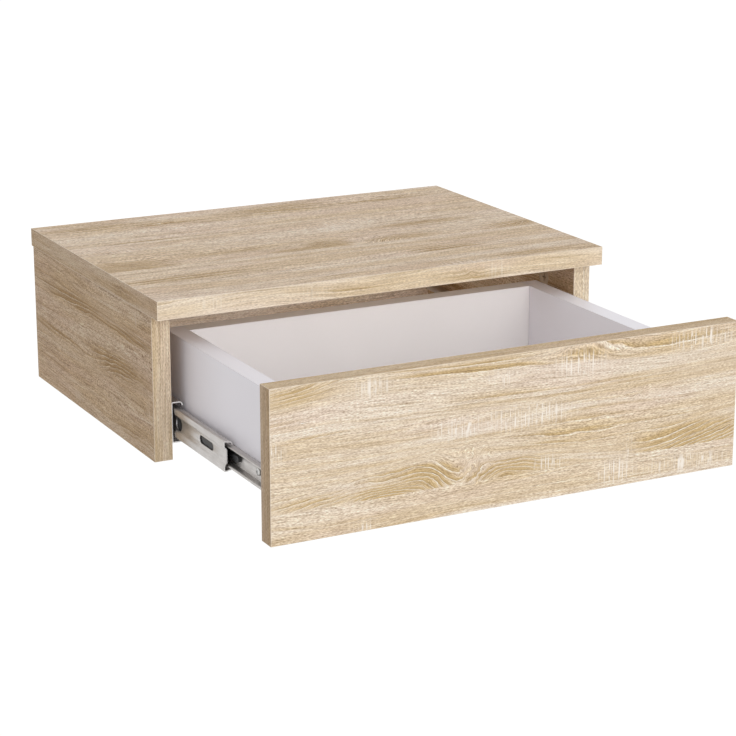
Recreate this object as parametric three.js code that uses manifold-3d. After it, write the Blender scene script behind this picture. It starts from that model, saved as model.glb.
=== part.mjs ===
// Wall-hung bedside unit with one drawer on ball-bearing telescopic slides, in millimetres.
// +Z is up and the front faces -Y. The origin is the middle of the rear face, on the wall plane.
import * as THREE from "three";
import { mergeVertices } from "three/addons/utils/BufferGeometryUtils.js";
import Module from "manifold-3d";

const wasm = await Module();
wasm.setup();

// Carcass
const overallWidth = 420;
const overallDepth = 300;
const overallHeight = 140;
const topThickness = 16;
const sideThickness = 16;
const backThickness = 16;
const sideOverhang = 1.5; // top panel beyond each side panel
const jointGap = 0.1; // between two boards that are pulled together

// Drawer front, as it hangs when the drawer is closed
const frontThickness = 16;
const frontGap = 1.5; // to the front edges of the side panels
const frontReveal = 1; // each end inside the outer face of the side panel
const frontUnderTop = 2.5; // to the underside of the top panel

// Drawer box
const drawerSideThickness = 16;
const drawerBackThickness = 16;
const drawerBottomThickness = 3;
const boxBelowFrontTop = 21.5;
const boxAboveFrontBottom = 20;
const boxRearRoom = 18; // closed box to the back panel
const grooveDepth = 7;
const grooveAboveEdge = 5.5;
const grooveRoom = 0.2;

// How far the drawer stands open, and how far the moving slide pieces go with it
const drawerOpening = 205;
const intermediateShare = 0.5;
const outerCageShare = 0.25;
const innerCageShare = 0.75;

// Telescopic slides, measured from the side panel towards the drawer and from the centre line
const slideThickness = 12.7;
const slideHeight = 35;
const slideAboveBoxEdge = 11.3;
const slideSetback = 1; // outer member behind the side panel's front edge
const slideRearRoom = 15.5; // outer member to the back panel
const sheet = 1; // steel of the three members
const seatGap = 0.1;
const raceClearance = 0.15;
const outerBallRadius = 2.1;
const innerBallRadius = 1.4;
const outerBallU = 7;
const raceOffset = 0.2; // inner ball row beyond the outer ball row
const raceRise = 0.6; // shoulder beside the outer ball's race
const cageRoom = 1;
const screwHeadRoom = 3.1;
const recessHalfHeight = 5.2;
const shoulderHalfHeight = 7.8;
const outerLipAngle = THREE.MathUtils.degToRad(10);
const innerLipAngle = THREE.MathUtils.degToRad(155);
const memberInset = 2; // closed intermediate member behind the outer member's front end
const memberRearInset = 10; // and in front of its rear end
const innerSetback = 1; // inner member behind the drawer front
const innerRearInset = 1; // and in front of the box's rear end

// Openings in the webs of the members
const slotLength = 27.5;
const slotHeight = 6.8;
const slotFromFront = 24.9;
const slotFromRear = 30;
const accessHoleRadius = 6;
const accessHoleFromFront = 94.5;
const spareSlotLength = 12;
const spareSlotHeight = 4.6;
const spareSlotAfterScrew = 16;

// Ball cages
const cageSheet = 0.5;
const cageClearance = 0.3;
const cageStepShift = 0.5; // folds of the cage beside the folds of the member
const cageLength = 100;
const outerCageSetback = 70; // closed cage behind the outer member's front end
const innerCageSetback = 73; // closed cage behind the intermediate member's front end
const ballPitch = 16;
const ballEndMargin = 4;
const stripReachShare = 0.75; // of a ball's radius, past the middle of its row

// Pan-head screws of the slides
const screwHeadRadius = 3.3;
const screwHeadHeight = 1.6;
const roundedHeadShare = 0.6; // of the head radius that is flat on top
const screwShankRadius = 1.6;
const screwLength = 12;
const screwTipLength = 2;
const pilotRoom = 0.2;
const outerScrewFromFront = 35;
const outerScrewFromRear = 55;
const innerScrewFromFront = 61;
const innerScrewFromRear = 59;

// Rear bumper of each outer member
const bumperLength = 8.5;
const bumperHalfHeight = 5.8;
const bumperDepth = 3.8;
const bumperNose = 2;

// Release lever on each inner member
const leverLength = 49;
const leverThickness = 2.4;
const leverBossRadius = 3.4;
const leverBarHalfHeight = 1.5;
const leverPadHalfHeight = 2.4;
const leverPadLength = 11;
const leverCatchFrom = 12;
const leverCatchLength = 4;
const leverCatchRise = 1.6;
const leverTailLength = 12;
const leverTailRise = 4.2;
const leverTailThickness = 1;
const leverTailAngle = THREE.MathUtils.degToRad(135);
const rivetRadius = 1.8;
const rivetHeadRadius = 2.8;
const rivetHeadHeight = 0.6;
const rivetClearance = 0.08;
const rivetEndGap = 0.25;

// Cam locks, their bolts and the wood dowels beside them
const camRadius = 7.5;
const camBackWall = 3.5;
const camFaceInset = 0.2;
const camDistance = 24; // joint face to the cam's axis
const camRoom = 0.3;
const camPocketRadius = 3.3;
const camPocketReach = 2.4;
const camSlotLength = 7;
const camSlotWidth = 1.3;
const camSlotDepth = 1.8;
const boltThreadRadius = 3;
const boltShankRadius = 2.5;
const boltNeckRadius = 1.5;
const boltNeckLength = 5;
const boltHeadRadius = 2.8;
const boltHeadHalfLength = 1.5;
const boltCollarRadius = 3.5;
const boltCollarLength = 1.5;
const boltHoleRadius = 4;
const boltChamfer = 0.6;
const dowelRadius = 4;
const dowelLength = 30;
const dowelChamfer = 1;
const dowelRoom = 0.2;
const blindWall = 4.5; // left under a blind hole in a face
const holeEndRoom = 0.7;

// Places of the cam joints
const topJointFromFront = 50;
const topJointFromRear = 60;
const topDowelOffset = 32;
const backJointBelowTop = 40;
const backDowelOffset = 32;
const frontJointShare = 0.34; // of the way from the box's top edge down to the groove
const frontDowelShare = 0.67;

// Countersunk screws that hold the drawer back
const longScrewHeadRadius = 4;
const longScrewHeadLength = 2.4;
const longScrewRadius = 1.9;
const longScrewLength = 38;
const longScrewTipLength = 4;
const longScrewBelowBoxTop = 15;
const longScrewSpacing = 32;

// Wall screw holes in the back panel
const wallHoleSpacing = 256;
const wallHoleBelowTop = 26;
const wallHoleRadius = 2.8;
const wallSinkRadius = 5.4;
const wallSinkDepth = 3;

// Facets of the round forms
const overrun = 1; // a cutter beyond the face that it opens
const weldDistance = 1e-4;
const holeSides = 16;
const camSides = 24;
const turnedSides = 10;
const screwSides = 10;
const ballSides = 6;
const ballRings = 4;
const outerRaceSteps = 5;
const innerRaceSteps = 4;
const bendSteps = 3;
const shapeSteps = 5;

// Places that follow from the sizes
const topZ = overallHeight / 2;
const undersideZ = topZ - topThickness;
const bottomZ = -overallHeight / 2;
const panelOuterX = overallWidth / 2 - sideOverhang;
const panelInnerX = panelOuterX - sideThickness;
const panelMiddleX = (panelOuterX + panelInnerX) / 2;
const closedFrontBackY = -(overallDepth - frontThickness);
const panelFrontY = closedFrontBackY + frontGap;
const frontTopZ = undersideZ - frontUnderTop;
const frontHalfWidth = panelOuterX - frontReveal;
const boxTopZ = frontTopZ - boxBelowFrontTop;
const boxBottomZ = bottomZ + boxAboveFrontBottom;
const boxOuterX = panelInnerX - slideThickness;
const boxInnerX = boxOuterX - drawerSideThickness;
const boxMiddleX = (boxOuterX + boxInnerX) / 2;
const closedBoxRearY = -(backThickness + boxRearRoom);
const grooveBottomZ = boxBottomZ + grooveAboveEdge;
const grooveTopZ = grooveBottomZ + drawerBottomThickness + 2 * grooveRoom;
const heightOverGroove = boxTopZ - grooveTopZ;
const slideZ = boxBottomZ + slideAboveBoxEdge;
const slideFrontY = panelFrontY + slideSetback;
const slideLength = -slideFrontY - backThickness - slideRearRoom;
const intermediateLength = slideLength - memberInset - memberRearInset;
const closedInnerFrontY = closedFrontBackY + innerSetback;
const innerLength = closedBoxRearY - innerRearInset - closedInnerFrontY;

// Slide screws, behind the front end of their member
const outerScrewPlaces = [outerScrewFromFront, slideLength - outerScrewFromRear];
const innerScrewPlaces = [innerScrewFromFront, innerLength - innerScrewFromRear];

// The release lever sits midway between the inner screws
const leverTailEnd = Math.cos(leverTailAngle) * leverBossRadius - leverTailLength;
const leverPivotPlace = (innerScrewPlaces[0] + innerScrewPlaces[1] + leverLength + leverTailEnd) / 2;

// Section of the slide: u from the side panel towards the drawer, v from the centre line
const outerFaceU = seatGap + sheet;
const outerWebU = seatGap + sheet / 2;
const edgeWebU = outerFaceU + cageRoom + sheet / 2;
const recessWebU = outerFaceU + screwHeadRoom + sheet / 2;
const innerWebU = slideThickness - seatGap - sheet / 2;
const outerRaceRadius = outerBallRadius + raceClearance + sheet / 2;
const innerRaceRadius = innerBallRadius + raceClearance + sheet / 2;
const innerBallU = outerBallU + raceOffset;
const outerFlangeV = slideHeight / 2 - sheet / 2;
const outerBallV = outerFlangeV - outerRaceRadius;
const innerBallV = outerBallV - outerRaceRadius - innerRaceRadius;
const shoulderV = outerBallV - outerRaceRadius + raceRise;
const innerFlangeV = innerBallV - innerRaceRadius;

// Materials
function finish(color, roughness, metalness) {
  return new THREE.MeshStandardMaterial({ color, roughness, metalness });
}
const oak = finish(0xcfb48c, 0.6, 0);
const white = finish(0xe9e7ea, 0.45, 0);
const hardboard = finish(0xe4e2e2, 0.6, 0);
const beech = finish(0xc79f6b, 0.7, 0);
const zincSteel = finish(0xb9b6b2, 0.35, 1);
const ballSteel = finish(0xd6d6d8, 0.15, 1);
const castZinc = finish(0x9d9fa1, 0.45, 1);
const screwSteel = finish(0xaeb0b0, 0.3, 1);
const blackPlastic = finish(0x1d1d1f, 0.5, 0);
const rubber = finish(0x2a2a2a, 0.85, 0);

// A closed geometry as a solid with its faces pointing out.
function solid(geometry, matrix = new THREE.Matrix4()) {
  const open = geometry.index ? geometry.toNonIndexed() : geometry;
  const bare = new THREE.BufferGeometry();
  bare.setAttribute("position", open.getAttribute("position").clone());
  bare.applyMatrix4(matrix);
  const merged = mergeVertices(bare, weldDistance);
  const corners = merged.index.array;
  const kept = [];
  for (let i = 0; i < corners.length; i += 3) {
    const [a, b, c] = corners.slice(i, i + 3);
    if (a !== b && b !== c && c !== a) {
      kept.push(a, b, c);
    }
  }
  const vertProperties = merged.getAttribute("position").array;
  const build = (list) =>
    new wasm.Manifold(new wasm.Mesh({ numProp: 3, vertProperties, triVerts: new Uint32Array(list) }));
  const made = build(kept);
  return made.volume() < 0 ? build(kept.reverse()) : made;
}

// A named mesh of a solid.
function piece(name, body, material) {
  const { vertProperties, triVerts } = body.getMesh();
  const indexed = new THREE.BufferGeometry();
  indexed.setAttribute("position", new THREE.BufferAttribute(Float32Array.from(vertProperties), 3));
  indexed.setIndex(new THREE.BufferAttribute(Uint32Array.from(triVerts), 1));
  const geometry = indexed.toNonIndexed();
  geometry.computeVertexNormals();
  const made = new THREE.Mesh(geometry, material);
  made.name = name;
  return made;
}

function joined(bodies) {
  return bodies.reduce((sum, body) => sum.add(body));
}

function cut(body, cutters) {
  return cutters.reduce((rest, cutter) => rest.subtract(cutter), body);
}

// A block between two opposite corners, given in any order.
function block([x0, x1], [y0, y1], [z0, z1]) {
  const geometry = new THREE.BoxGeometry(Math.abs(x1 - x0), Math.abs(y1 - y0), Math.abs(z1 - z0));
  geometry.translate((x0 + x1) / 2, (y0 + y1) / 2, (z0 + z1) / 2);
  return solid(geometry);
}

// A round bar between two points.
function rod(radius, from, to, sides = holeSides) {
  const a = new THREE.Vector3(...from);
  const b = new THREE.Vector3(...to);
  const geometry = new THREE.CylinderGeometry(radius, radius, a.distanceTo(b), sides);
  const turn = new THREE.Quaternion().setFromUnitVectors(
    new THREE.Vector3(0, 1, 0),
    b.clone().sub(a).normalize(),
  );
  const middle = a.add(b).multiplyScalar(0.5);
  return solid(geometry, new THREE.Matrix4().compose(middle, turn, new THREE.Vector3(1, 1, 1)));
}

// A form turned about its Z axis from a profile of [radius, z] points.
function turned(profile, sides = turnedSides) {
  const geometry = new THREE.LatheGeometry(profile.map(([r, z]) => new THREE.Vector2(r, z)), sides);
  geometry.rotateX(Math.PI / 2);
  return solid(geometry);
}

// A flat shape in U and V extruded along +Y.
function extrudedAlongY(shape, length) {
  const geometry = new THREE.ExtrudeGeometry(shape, {
    depth: length,
    bevelEnabled: false,
    curveSegments: shapeSteps,
  });
  geometry.rotateX(Math.PI / 2);
  geometry.translate(0, length, 0);
  return solid(geometry);
}

// A slot with round ends through a web, its length along Y.
function slotCutter(length, height, y, u) {
  const shape = new THREE.Shape();
  const reach = length / 2 - height / 2;
  shape.absarc(reach, 0, height / 2, -Math.PI / 2, Math.PI / 2);
  shape.absarc(-reach, 0, height / 2, Math.PI / 2, Math.PI * 1.5);
  const depth = sheet + 2 * overrun;
  const geometry = new THREE.ExtrudeGeometry(shape, {
    depth,
    bevelEnabled: false,
    curveSegments: shapeSteps,
  });
  geometry.translate(0, 0, -depth / 2);
  geometry.rotateX(Math.PI / 2);
  geometry.rotateZ(Math.PI / 2);
  geometry.translate(u, y, 0);
  return solid(geometry);
}

function arc(u, v, radius, from, to, steps) {
  return Array.from({ length: steps + 1 }, (_, i) => {
    const angle = from + ((to - from) * i) / steps;
    return [u + radius * Math.cos(angle), v + radius * Math.sin(angle)];
  });
}

// The same path with its upper half repeated below the centre line.
function mirroredPath(upper) {
  const lower = upper.map(([u, v]) => [u, -v]).reverse();
  return [...upper, ...lower];
}

// The outline of a bent sheet: its middle line moved out by half the sheet on both sides.
function sheetShape(path, thickness) {
  const points = path.map(([u, v]) => new THREE.Vector2(u, v));
  const normalOf = (a, b) => {
    const along = b.clone().sub(a).normalize();
    return new THREE.Vector2(-along.y, along.x);
  };
  const sides = [[], []];
  points.forEach((point, i) => {
    const before = i > 0 ? normalOf(points[i - 1], point) : null;
    const after = i < points.length - 1 ? normalOf(point, points[i + 1]) : null;
    const first = before ?? after;
    const mitre = first.clone().add(after ?? before).normalize();
    const reach = thickness / 2 / mitre.dot(first);
    sides[0].push(point.clone().addScaledVector(mitre, reach));
    sides[1].push(point.clone().addScaledVector(mitre, -reach));
  });
  return new THREE.Shape([...sides[0], ...sides[1].reverse()]);
}

function extrudedSheet(upperPath, thickness, length) {
  return extrudedAlongY(sheetShape(mirroredPath(upperPath), thickness), length);
}

const hands = [
  { side: "left", hand: -1 },
  { side: "right", hand: 1 },
];

// A cam joint's own frame: the joint face at z = 0, the cam's board on +z, the cam's open face on +x.
function jointMatrix(position, intoCamBoard, towardsOpenFace) {
  const z = new THREE.Vector3(...intoCamBoard);
  const x = new THREE.Vector3(...towardsOpenFace);
  const y = z.clone().cross(x);
  return new THREE.Matrix4().makeBasis(x, y, z).setPosition(...position);
}

// Every cam joint with the thickness of its two boards and where its dowel sits beside it.
function camJoint(name, position, intoCamBoard, towardsOpenFace, boards, dowelOffset) {
  return {
    name,
    matrix: jointMatrix(position, intoCamBoard, towardsOpenFace),
    camBoard: boards[0],
    mateBoard: boards[1],
    dowelOffset,
  };
}

function topJoints({ side, hand }) {
  const x = hand * panelMiddleX;
  const boards = [sideThickness, topThickness];
  const frontY = panelFrontY + topJointFromFront;
  const rearY = -topJointFromRear;
  const down = [0, 0, -1];
  const inwards = [-hand, 0, 0];
  const spread = hand * topDowelOffset;
  return [
    camJoint(`top_${side}_front`, [x, frontY, undersideZ], down, inwards, boards, spread),
    camJoint(`top_${side}_rear`, [x, rearY, undersideZ], down, inwards, boards, -spread),
  ];
}

function backJoint({ side, hand }) {
  const position = [hand * panelInnerX, -backThickness / 2, undersideZ - backJointBelowTop];
  const boards = [backThickness, sideThickness];
  const spread = -hand * backDowelOffset;
  return camJoint(`back_${side}`, position, [-hand, 0, 0], [0, -1, 0], boards, spread);
}

function frontJoint({ side, hand }) {
  const z = boxTopZ - frontJointShare * heightOverGroove;
  const position = [hand * boxMiddleX, closedFrontBackY, z];
  const boards = [drawerSideThickness, frontThickness];
  const spread = -hand * (frontDowelShare - frontJointShare) * heightOverGroove;
  return camJoint(`front_${side}`, position, [0, 1, 0], [-hand, 0, 0], boards, spread);
}

function mateDepth(joint) {
  return joint.mateBoard - blindWall;
}

function camFaceX(joint) {
  return joint.camBoard / 2 - camFaceInset;
}

function camBottomX(joint) {
  return camBackWall - joint.camBoard / 2;
}

// The drum with its cross recess and the pocket that grips the bolt's head.
function camLock(joint) {
  const faceX = camFaceX(joint);
  const drum = rod(camRadius, [camBottomX(joint), 0, camDistance], [faceX, 0, camDistance], camSides);
  const pocketEnd = camDistance + camPocketReach;
  const pocket = rod(camPocketRadius, [0, 0, camDistance - camRadius - overrun], [0, 0, pocketEnd]);
  const halfLength = camSlotLength / 2;
  const halfWidth = camSlotWidth / 2;
  const depthX = [faceX - camSlotDepth, faceX + overrun];
  const long = [camDistance - halfLength, camDistance + halfLength];
  const short = [camDistance - halfWidth, camDistance + halfWidth];
  const cross = [
    block(depthX, [-halfWidth, halfWidth], long),
    block(depthX, [-halfLength, halfLength], short),
  ];
  return piece(`cam_lock_${joint.name}`, cut(drum, [pocket, ...cross]), castZinc);
}

function camBolt(joint) {
  const threadEnd = holeEndRoom - mateDepth(joint);
  const headStart = camDistance - boltHeadHalfLength;
  const headEnd = camDistance + boltHeadHalfLength;
  const neckStart = headStart - boltNeckLength;
  const collarEnd = boltCollarLength + jointGap;
  return piece(
    `cam_bolt_${joint.name}`,
    turned([
      [0, threadEnd],
      [boltThreadRadius - boltChamfer, threadEnd],
      [boltThreadRadius, threadEnd + boltChamfer],
      [boltThreadRadius, jointGap],
      [boltCollarRadius, jointGap],
      [boltCollarRadius, collarEnd],
      [boltShankRadius, collarEnd],
      [boltShankRadius, neckStart],
      [boltNeckRadius, neckStart],
      [boltNeckRadius, headStart],
      [boltHeadRadius, headStart],
      [boltHeadRadius, headEnd - boltChamfer],
      [boltHeadRadius - boltChamfer, headEnd],
      [0, headEnd],
    ]),
    screwSteel,
  );
}

function dowelEnds(joint) {
  const start = holeEndRoom - mateDepth(joint);
  return [start, start + dowelLength];
}

function dowel(joint) {
  const [start, end] = dowelEnds(joint);
  const made = piece(
    `dowel_${joint.name}`,
    turned([
      [0, start],
      [dowelRadius - dowelChamfer, start],
      [dowelRadius, start + dowelChamfer],
      [dowelRadius, end - dowelChamfer],
      [dowelRadius - dowelChamfer, end],
      [0, end],
    ]),
    beech,
  );
  made.position.set(0, joint.dowelOffset, 0);
  return made;
}

// The cam, bolt and dowel of one joint, in the joint's frame.
function camHardware(joint) {
  const group = new THREE.Group();
  group.add(camLock(joint), camBolt(joint), dowel(joint));
  group.applyMatrix4(joint.matrix);
  return group;
}

function placed(cutter, joint) {
  return cutter.transform(joint.matrix.elements);
}

// The pocket and the two holes in the edge of the board that holds the cam.
function camBoardCutters(joint) {
  const bottomX = camBottomX(joint) - camRoom;
  const openX = joint.camBoard / 2 + overrun;
  const hole = rod(camRadius + camRoom, [bottomX, 0, camDistance], [openX, 0, camDistance], camSides);
  const dowelEnd = dowelEnds(joint)[1] + holeEndRoom;
  const offset = joint.dowelOffset;
  return [
    hole,
    rod(boltHoleRadius, [0, 0, -overrun], [0, 0, camDistance]),
    rod(dowelRadius + dowelRoom, [0, offset, -overrun], [0, offset, dowelEnd]),
  ].map((cutter) => placed(cutter, joint));
}

// The two blind holes in the face of the other board.
function mateBoardCutters(joint) {
  const end = -mateDepth(joint);
  const offset = joint.dowelOffset;
  return [
    rod(boltThreadRadius + dowelRoom, [0, 0, end], [0, 0, overrun]),
    rod(dowelRadius + dowelRoom, [0, offset, end], [0, offset, overrun]),
  ].map((cutter) => placed(cutter, joint));
}

// The carcass boards
function topPanel() {
  const halfWidth = overallWidth / 2;
  const board = block([-halfWidth, halfWidth], [-overallDepth, 0], [undersideZ, topZ]);
  const cutters = hands.flatMap(topJoints).flatMap(mateBoardCutters);
  return piece("top_panel", cut(board, cutters), oak);
}

function sidePanel({ side, hand }) {
  const board = block(
    [hand * panelInnerX, hand * panelOuterX],
    [panelFrontY, 0],
    [bottomZ, undersideZ - jointGap],
  );
  const openX = hand * (panelInnerX - overrun);
  const pilotX = hand * (panelInnerX + screwLength + pilotRoom);
  const pilots = outerScrewPlaces.map((place) => {
    const y = slideFrontY + place;
    return rod(screwShankRadius + pilotRoom, [openX, y, slideZ], [pilotX, y, slideZ]);
  });
  const cutters = [
    ...topJoints({ side, hand }).flatMap(camBoardCutters),
    ...mateBoardCutters(backJoint({ side, hand })),
    ...pilots,
  ];
  return piece(`${side}_side_panel`, cut(board, cutters), oak);
}

// A countersunk hole through the back panel, open to the front.
function wallHole(x) {
  const z = undersideZ - wallHoleBelowTop;
  const shaft = rod(wallHoleRadius, [x, -backThickness - overrun, z], [x, overrun, z]);
  const faceY = -backThickness;
  const sink = turned(
    [
      [0, -wallSinkDepth],
      [wallHoleRadius, -wallSinkDepth],
      [wallSinkRadius, 0],
      [wallSinkRadius, overrun],
      [0, overrun],
    ],
    holeSides,
  );
  const outwards = jointMatrix([x, faceY, z], [0, -1, 0], [1, 0, 0]);
  return shaft.add(sink.transform(outwards.elements));
}

function backPanel() {
  const halfWidth = panelInnerX - jointGap;
  const board = block([-halfWidth, halfWidth], [-backThickness, 0], [bottomZ, undersideZ - jointGap]);
  const joints = hands.map(backJoint).flatMap(camBoardCutters);
  const wallHoles = [-wallHoleSpacing / 2, wallHoleSpacing / 2].map(wallHole);
  return piece("back_panel", cut(board, [...joints, ...wallHoles]), oak);
}

// A turned screw whose head sits on z = 0 and whose shank runs along -z.
function panHeadScrew(name) {
  const shoulder = -screwLength + screwTipLength;
  return piece(
    name,
    turned(
      [
        [0, -screwLength],
        [screwShankRadius, shoulder],
        [screwShankRadius, 0],
        [screwHeadRadius, 0],
        [screwHeadRadius, screwHeadHeight / 2],
        [screwHeadRadius * roundedHeadShare, screwHeadHeight],
        [0, screwHeadHeight],
      ],
      screwSides,
    ),
    screwSteel,
  );
}

// Telescopic slide members, in the slide's frame: u along x, v along z, front end at y = 0
function outerMember(side) {
  const body = extrudedSheet(
    [
      ...arc(outerBallU, outerBallV, outerRaceRadius, -outerLipAngle, Math.PI / 2, outerRaceSteps),
      [outerWebU, outerFlangeV],
    ],
    sheet,
    slideLength,
  );
  const holeRadius = screwShankRadius + pilotRoom;
  const openU = outerFaceU + overrun;
  const holes = outerScrewPlaces.map((y) => rod(holeRadius, [-overrun, y, 0], [openU, y, 0]));
  const spares = outerScrewPlaces.map((y) =>
    slotCutter(spareSlotLength, spareSlotHeight, y + spareSlotAfterScrew, outerWebU),
  );
  return piece(`slide_outer_${side}`, cut(body, [...holes, ...spares]), zincSteel);
}

function intermediateMember(side) {
  const raceAngle = Math.PI + Math.asin((outerRaceRadius - raceRise) / outerRaceRadius);
  const body = extrudedSheet(
    [
      ...arc(innerBallU, innerBallV, innerRaceRadius, -outerLipAngle, Math.PI / 2, innerRaceSteps),
      ...arc(outerBallU, outerBallV, outerRaceRadius, Math.PI * 1.5, raceAngle, bendSteps),
      [edgeWebU, shoulderV],
      [edgeWebU, shoulderHalfHeight],
      [recessWebU, recessHalfHeight],
    ],
    sheet,
    intermediateLength,
  );
  const slotYs = [
    slotFromFront + slotLength / 2,
    intermediateLength - slotFromRear - slotLength / 2,
  ];
  const holeEnds = [
    [edgeWebU, accessHoleFromFront, 0],
    [recessWebU + sheet + overrun, accessHoleFromFront, 0],
  ];
  const cutters = [
    ...slotYs.map((y) => slotCutter(slotLength, slotHeight, y, recessWebU)),
    rod(accessHoleRadius, ...holeEnds),
  ];
  return piece(`slide_intermediate_${side}`, cut(body, cutters), zincSteel);
}

// The rivet that carries the release lever, with a head that keeps the lever on.
function leverRivet() {
  const faceU = innerWebU - sheet / 2;
  const headU = faceU - leverThickness - 2 * rivetEndGap;
  const y = leverPivotPlace;
  return joined([
    rod(rivetRadius, [innerWebU, y, 0], [headU, y, 0]),
    rod(rivetHeadRadius, [headU, y, 0], [headU - rivetHeadHeight, y, 0]),
  ]);
}

function innerMember(side) {
  const body = extrudedSheet(
    [
      ...arc(innerBallU, innerBallV, innerRaceRadius, -innerLipAngle, -Math.PI / 2, bendSteps),
      [innerWebU, innerFlangeV],
    ],
    sheet,
    innerLength,
  );
  const holeRadius = screwShankRadius + pilotRoom;
  const startU = innerWebU - sheet;
  const endU = innerWebU + sheet;
  const holes = innerScrewPlaces.map((y) => rod(holeRadius, [startU, y, 0], [endU, y, 0]));
  const spares = innerScrewPlaces.map((y) =>
    slotCutter(spareSlotLength, spareSlotHeight, y - spareSlotAfterScrew, innerWebU),
  );
  return piece(`slide_inner_${side}`, cut(body, [...holes, ...spares]).add(leverRivet()), zincSteel);
}

// Steel balls pressed into a folded strip, one row above and one below the centre line.
function ballCage(name, upperPath, ballU, ballV, ballRadius) {
  const strip = extrudedSheet(upperPath, cageSheet, cageLength);
  const rowLength = cageLength - 2 * (ballEndMargin + ballRadius);
  const count = Math.floor(rowLength / ballPitch) + 1;
  const firstY = (cageLength - (count - 1) * ballPitch) / 2;
  const balls = [];
  for (let i = 0; i < count; i += 1) {
    for (const v of [ballV, -ballV]) {
      const ball = new THREE.SphereGeometry(ballRadius, ballSides, ballRings);
      ball.translate(ballU, firstY + i * ballPitch, v);
      balls.push(solid(ball));
    }
  }
  return piece(name, joined([strip, ...balls]), ballSteel);
}

function outerCage(side) {
  const flatU = outerFaceU + cageRoom / 2;
  const recessU = recessWebU - sheet / 2 - cageClearance - cageSheet / 2;
  const path = [
    [outerBallU + outerBallRadius * stripReachShare, outerBallV],
    [flatU, outerBallV],
    [flatU, shoulderHalfHeight - cageStepShift],
    [recessU, recessHalfHeight - cageStepShift],
  ];
  return ballCage(`outer_ball_cage_${side}`, path, outerBallU, outerBallV, outerBallRadius);
}

function innerCage(side) {
  const offset = sheet / 2 + cageClearance + cageSheet / 2;
  const path = [
    [innerBallU + innerBallRadius * stripReachShare, innerBallV],
    [edgeWebU + offset, innerBallV],
    [edgeWebU + offset, shoulderHalfHeight + cageStepShift],
    [recessWebU + offset, recessHalfHeight + cageStepShift],
  ];
  return ballCage(`inner_ball_cage_${side}`, path, innerBallU, innerBallV, innerBallRadius);
}

// Turns a flat form so that its X points forwards, its Y up and its depth towards the side panel.
function facingForwards(geometry) {
  const forwards = new THREE.Vector3(0, -1, 0);
  const up = new THREE.Vector3(0, 0, 1);
  const inwards = new THREE.Vector3(-1, 0, 0);
  return solid(geometry, new THREE.Matrix4().makeBasis(forwards, up, inwards));
}

// The rubber block that the intermediate member meets when the drawer shuts.
function bumper(side) {
  const shape = new THREE.Shape();
  const half = bumperHalfHeight;
  shape.moveTo(0, -half);
  shape.lineTo(bumperLength - bumperNose, -half);
  shape.quadraticCurveTo(bumperLength, -half, bumperLength, -half + bumperNose);
  shape.lineTo(bumperLength, half - bumperNose);
  shape.quadraticCurveTo(bumperLength, half, bumperLength - bumperNose, half);
  shape.lineTo(0, half);
  shape.closePath();
  const geometry = new THREE.ExtrudeGeometry(shape, {
    depth: bumperDepth,
    bevelEnabled: false,
    curveSegments: bendSteps,
  });
  const made = piece(`rear_bumper_${side}`, facingForwards(geometry), rubber);
  made.position.set(outerFaceU + seatGap + bumperDepth, slideLength, 0);
  return made;
}

// The lever's outline: the pivot at the origin, the finger pad forwards, the spring tail behind.
function leverOutline() {
  const shape = new THREE.Shape();
  const bar = leverBarHalfHeight;
  const padStart = leverLength - leverPadLength;
  const pad = leverPadHalfHeight;
  const padTip = leverLength - pad;
  const catchEnd = leverCatchFrom + leverCatchLength;
  const bossAngle = Math.asin(bar / leverBossRadius);
  shape.moveTo(leverBossRadius * Math.cos(bossAngle), -bar);
  shape.lineTo(padStart, -bar);
  shape.lineTo(padStart + pad, -pad);
  shape.lineTo(padTip, -pad);
  shape.absarc(padTip, 0, pad, -Math.PI / 2, Math.PI / 2);
  shape.lineTo(padStart + pad, pad);
  shape.lineTo(padStart, bar);
  shape.lineTo(catchEnd, bar);
  shape.lineTo(leverCatchFrom + leverCatchLength / 2, bar + leverCatchRise);
  shape.lineTo(leverCatchFrom, bar + leverCatchRise);
  shape.lineTo(leverCatchFrom, bar);
  shape.absarc(0, 0, leverBossRadius, bossAngle, leverTailAngle);
  shape.lineTo(leverTailEnd, leverTailRise + leverTailThickness / 2);
  shape.lineTo(leverTailEnd, leverTailRise - leverTailThickness / 2);
  shape.lineTo(-leverBossRadius, 0);
  shape.absarc(0, 0, leverBossRadius, Math.PI, Math.PI * 2 - bossAngle);
  const bore = new THREE.Path();
  bore.absarc(0, 0, rivetRadius + rivetClearance, 0, Math.PI * 2);
  shape.holes.push(bore);
  return shape;
}

function releaseLever(side) {
  const geometry = new THREE.ExtrudeGeometry(leverOutline(), {
    depth: leverThickness,
    bevelEnabled: false,
    curveSegments: holeSides / 2,
  });
  const made = piece(`release_lever_${side}`, facingForwards(geometry), blackPlastic);
  const faceU = innerWebU - sheet / 2 - rivetEndGap;
  made.position.set(faceU, leverPivotPlace, 0);
  return made;
}

// The slide screws: the head stands away from the board that the shank runs into.
function slideScrews(name, headU, places, turn) {
  return places.map((y, i) => {
    const made = panHeadScrew(`${name}_${["front", "rear"][i]}`);
    made.rotation.y = turn;
    made.position.set(headU, y, 0);
    return made;
  });
}

function slideGroup({ hand }, y) {
  const group = new THREE.Group();
  group.position.set(hand * panelInnerX, y, slideZ);
  group.rotation.y = hand > 0 ? Math.PI : 0;
  return group;
}

// Pieces fixed to the side panel
function fixedSlide(entry) {
  const group = slideGroup(entry, slideFrontY);
  const headU = outerFaceU + seatGap;
  const name = `outer_slide_screw_${entry.side}`;
  const screws = slideScrews(name, headU, outerScrewPlaces, Math.PI / 2);
  group.add(outerMember(entry.side), bumper(entry.side), ...screws);
  return group;
}

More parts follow.
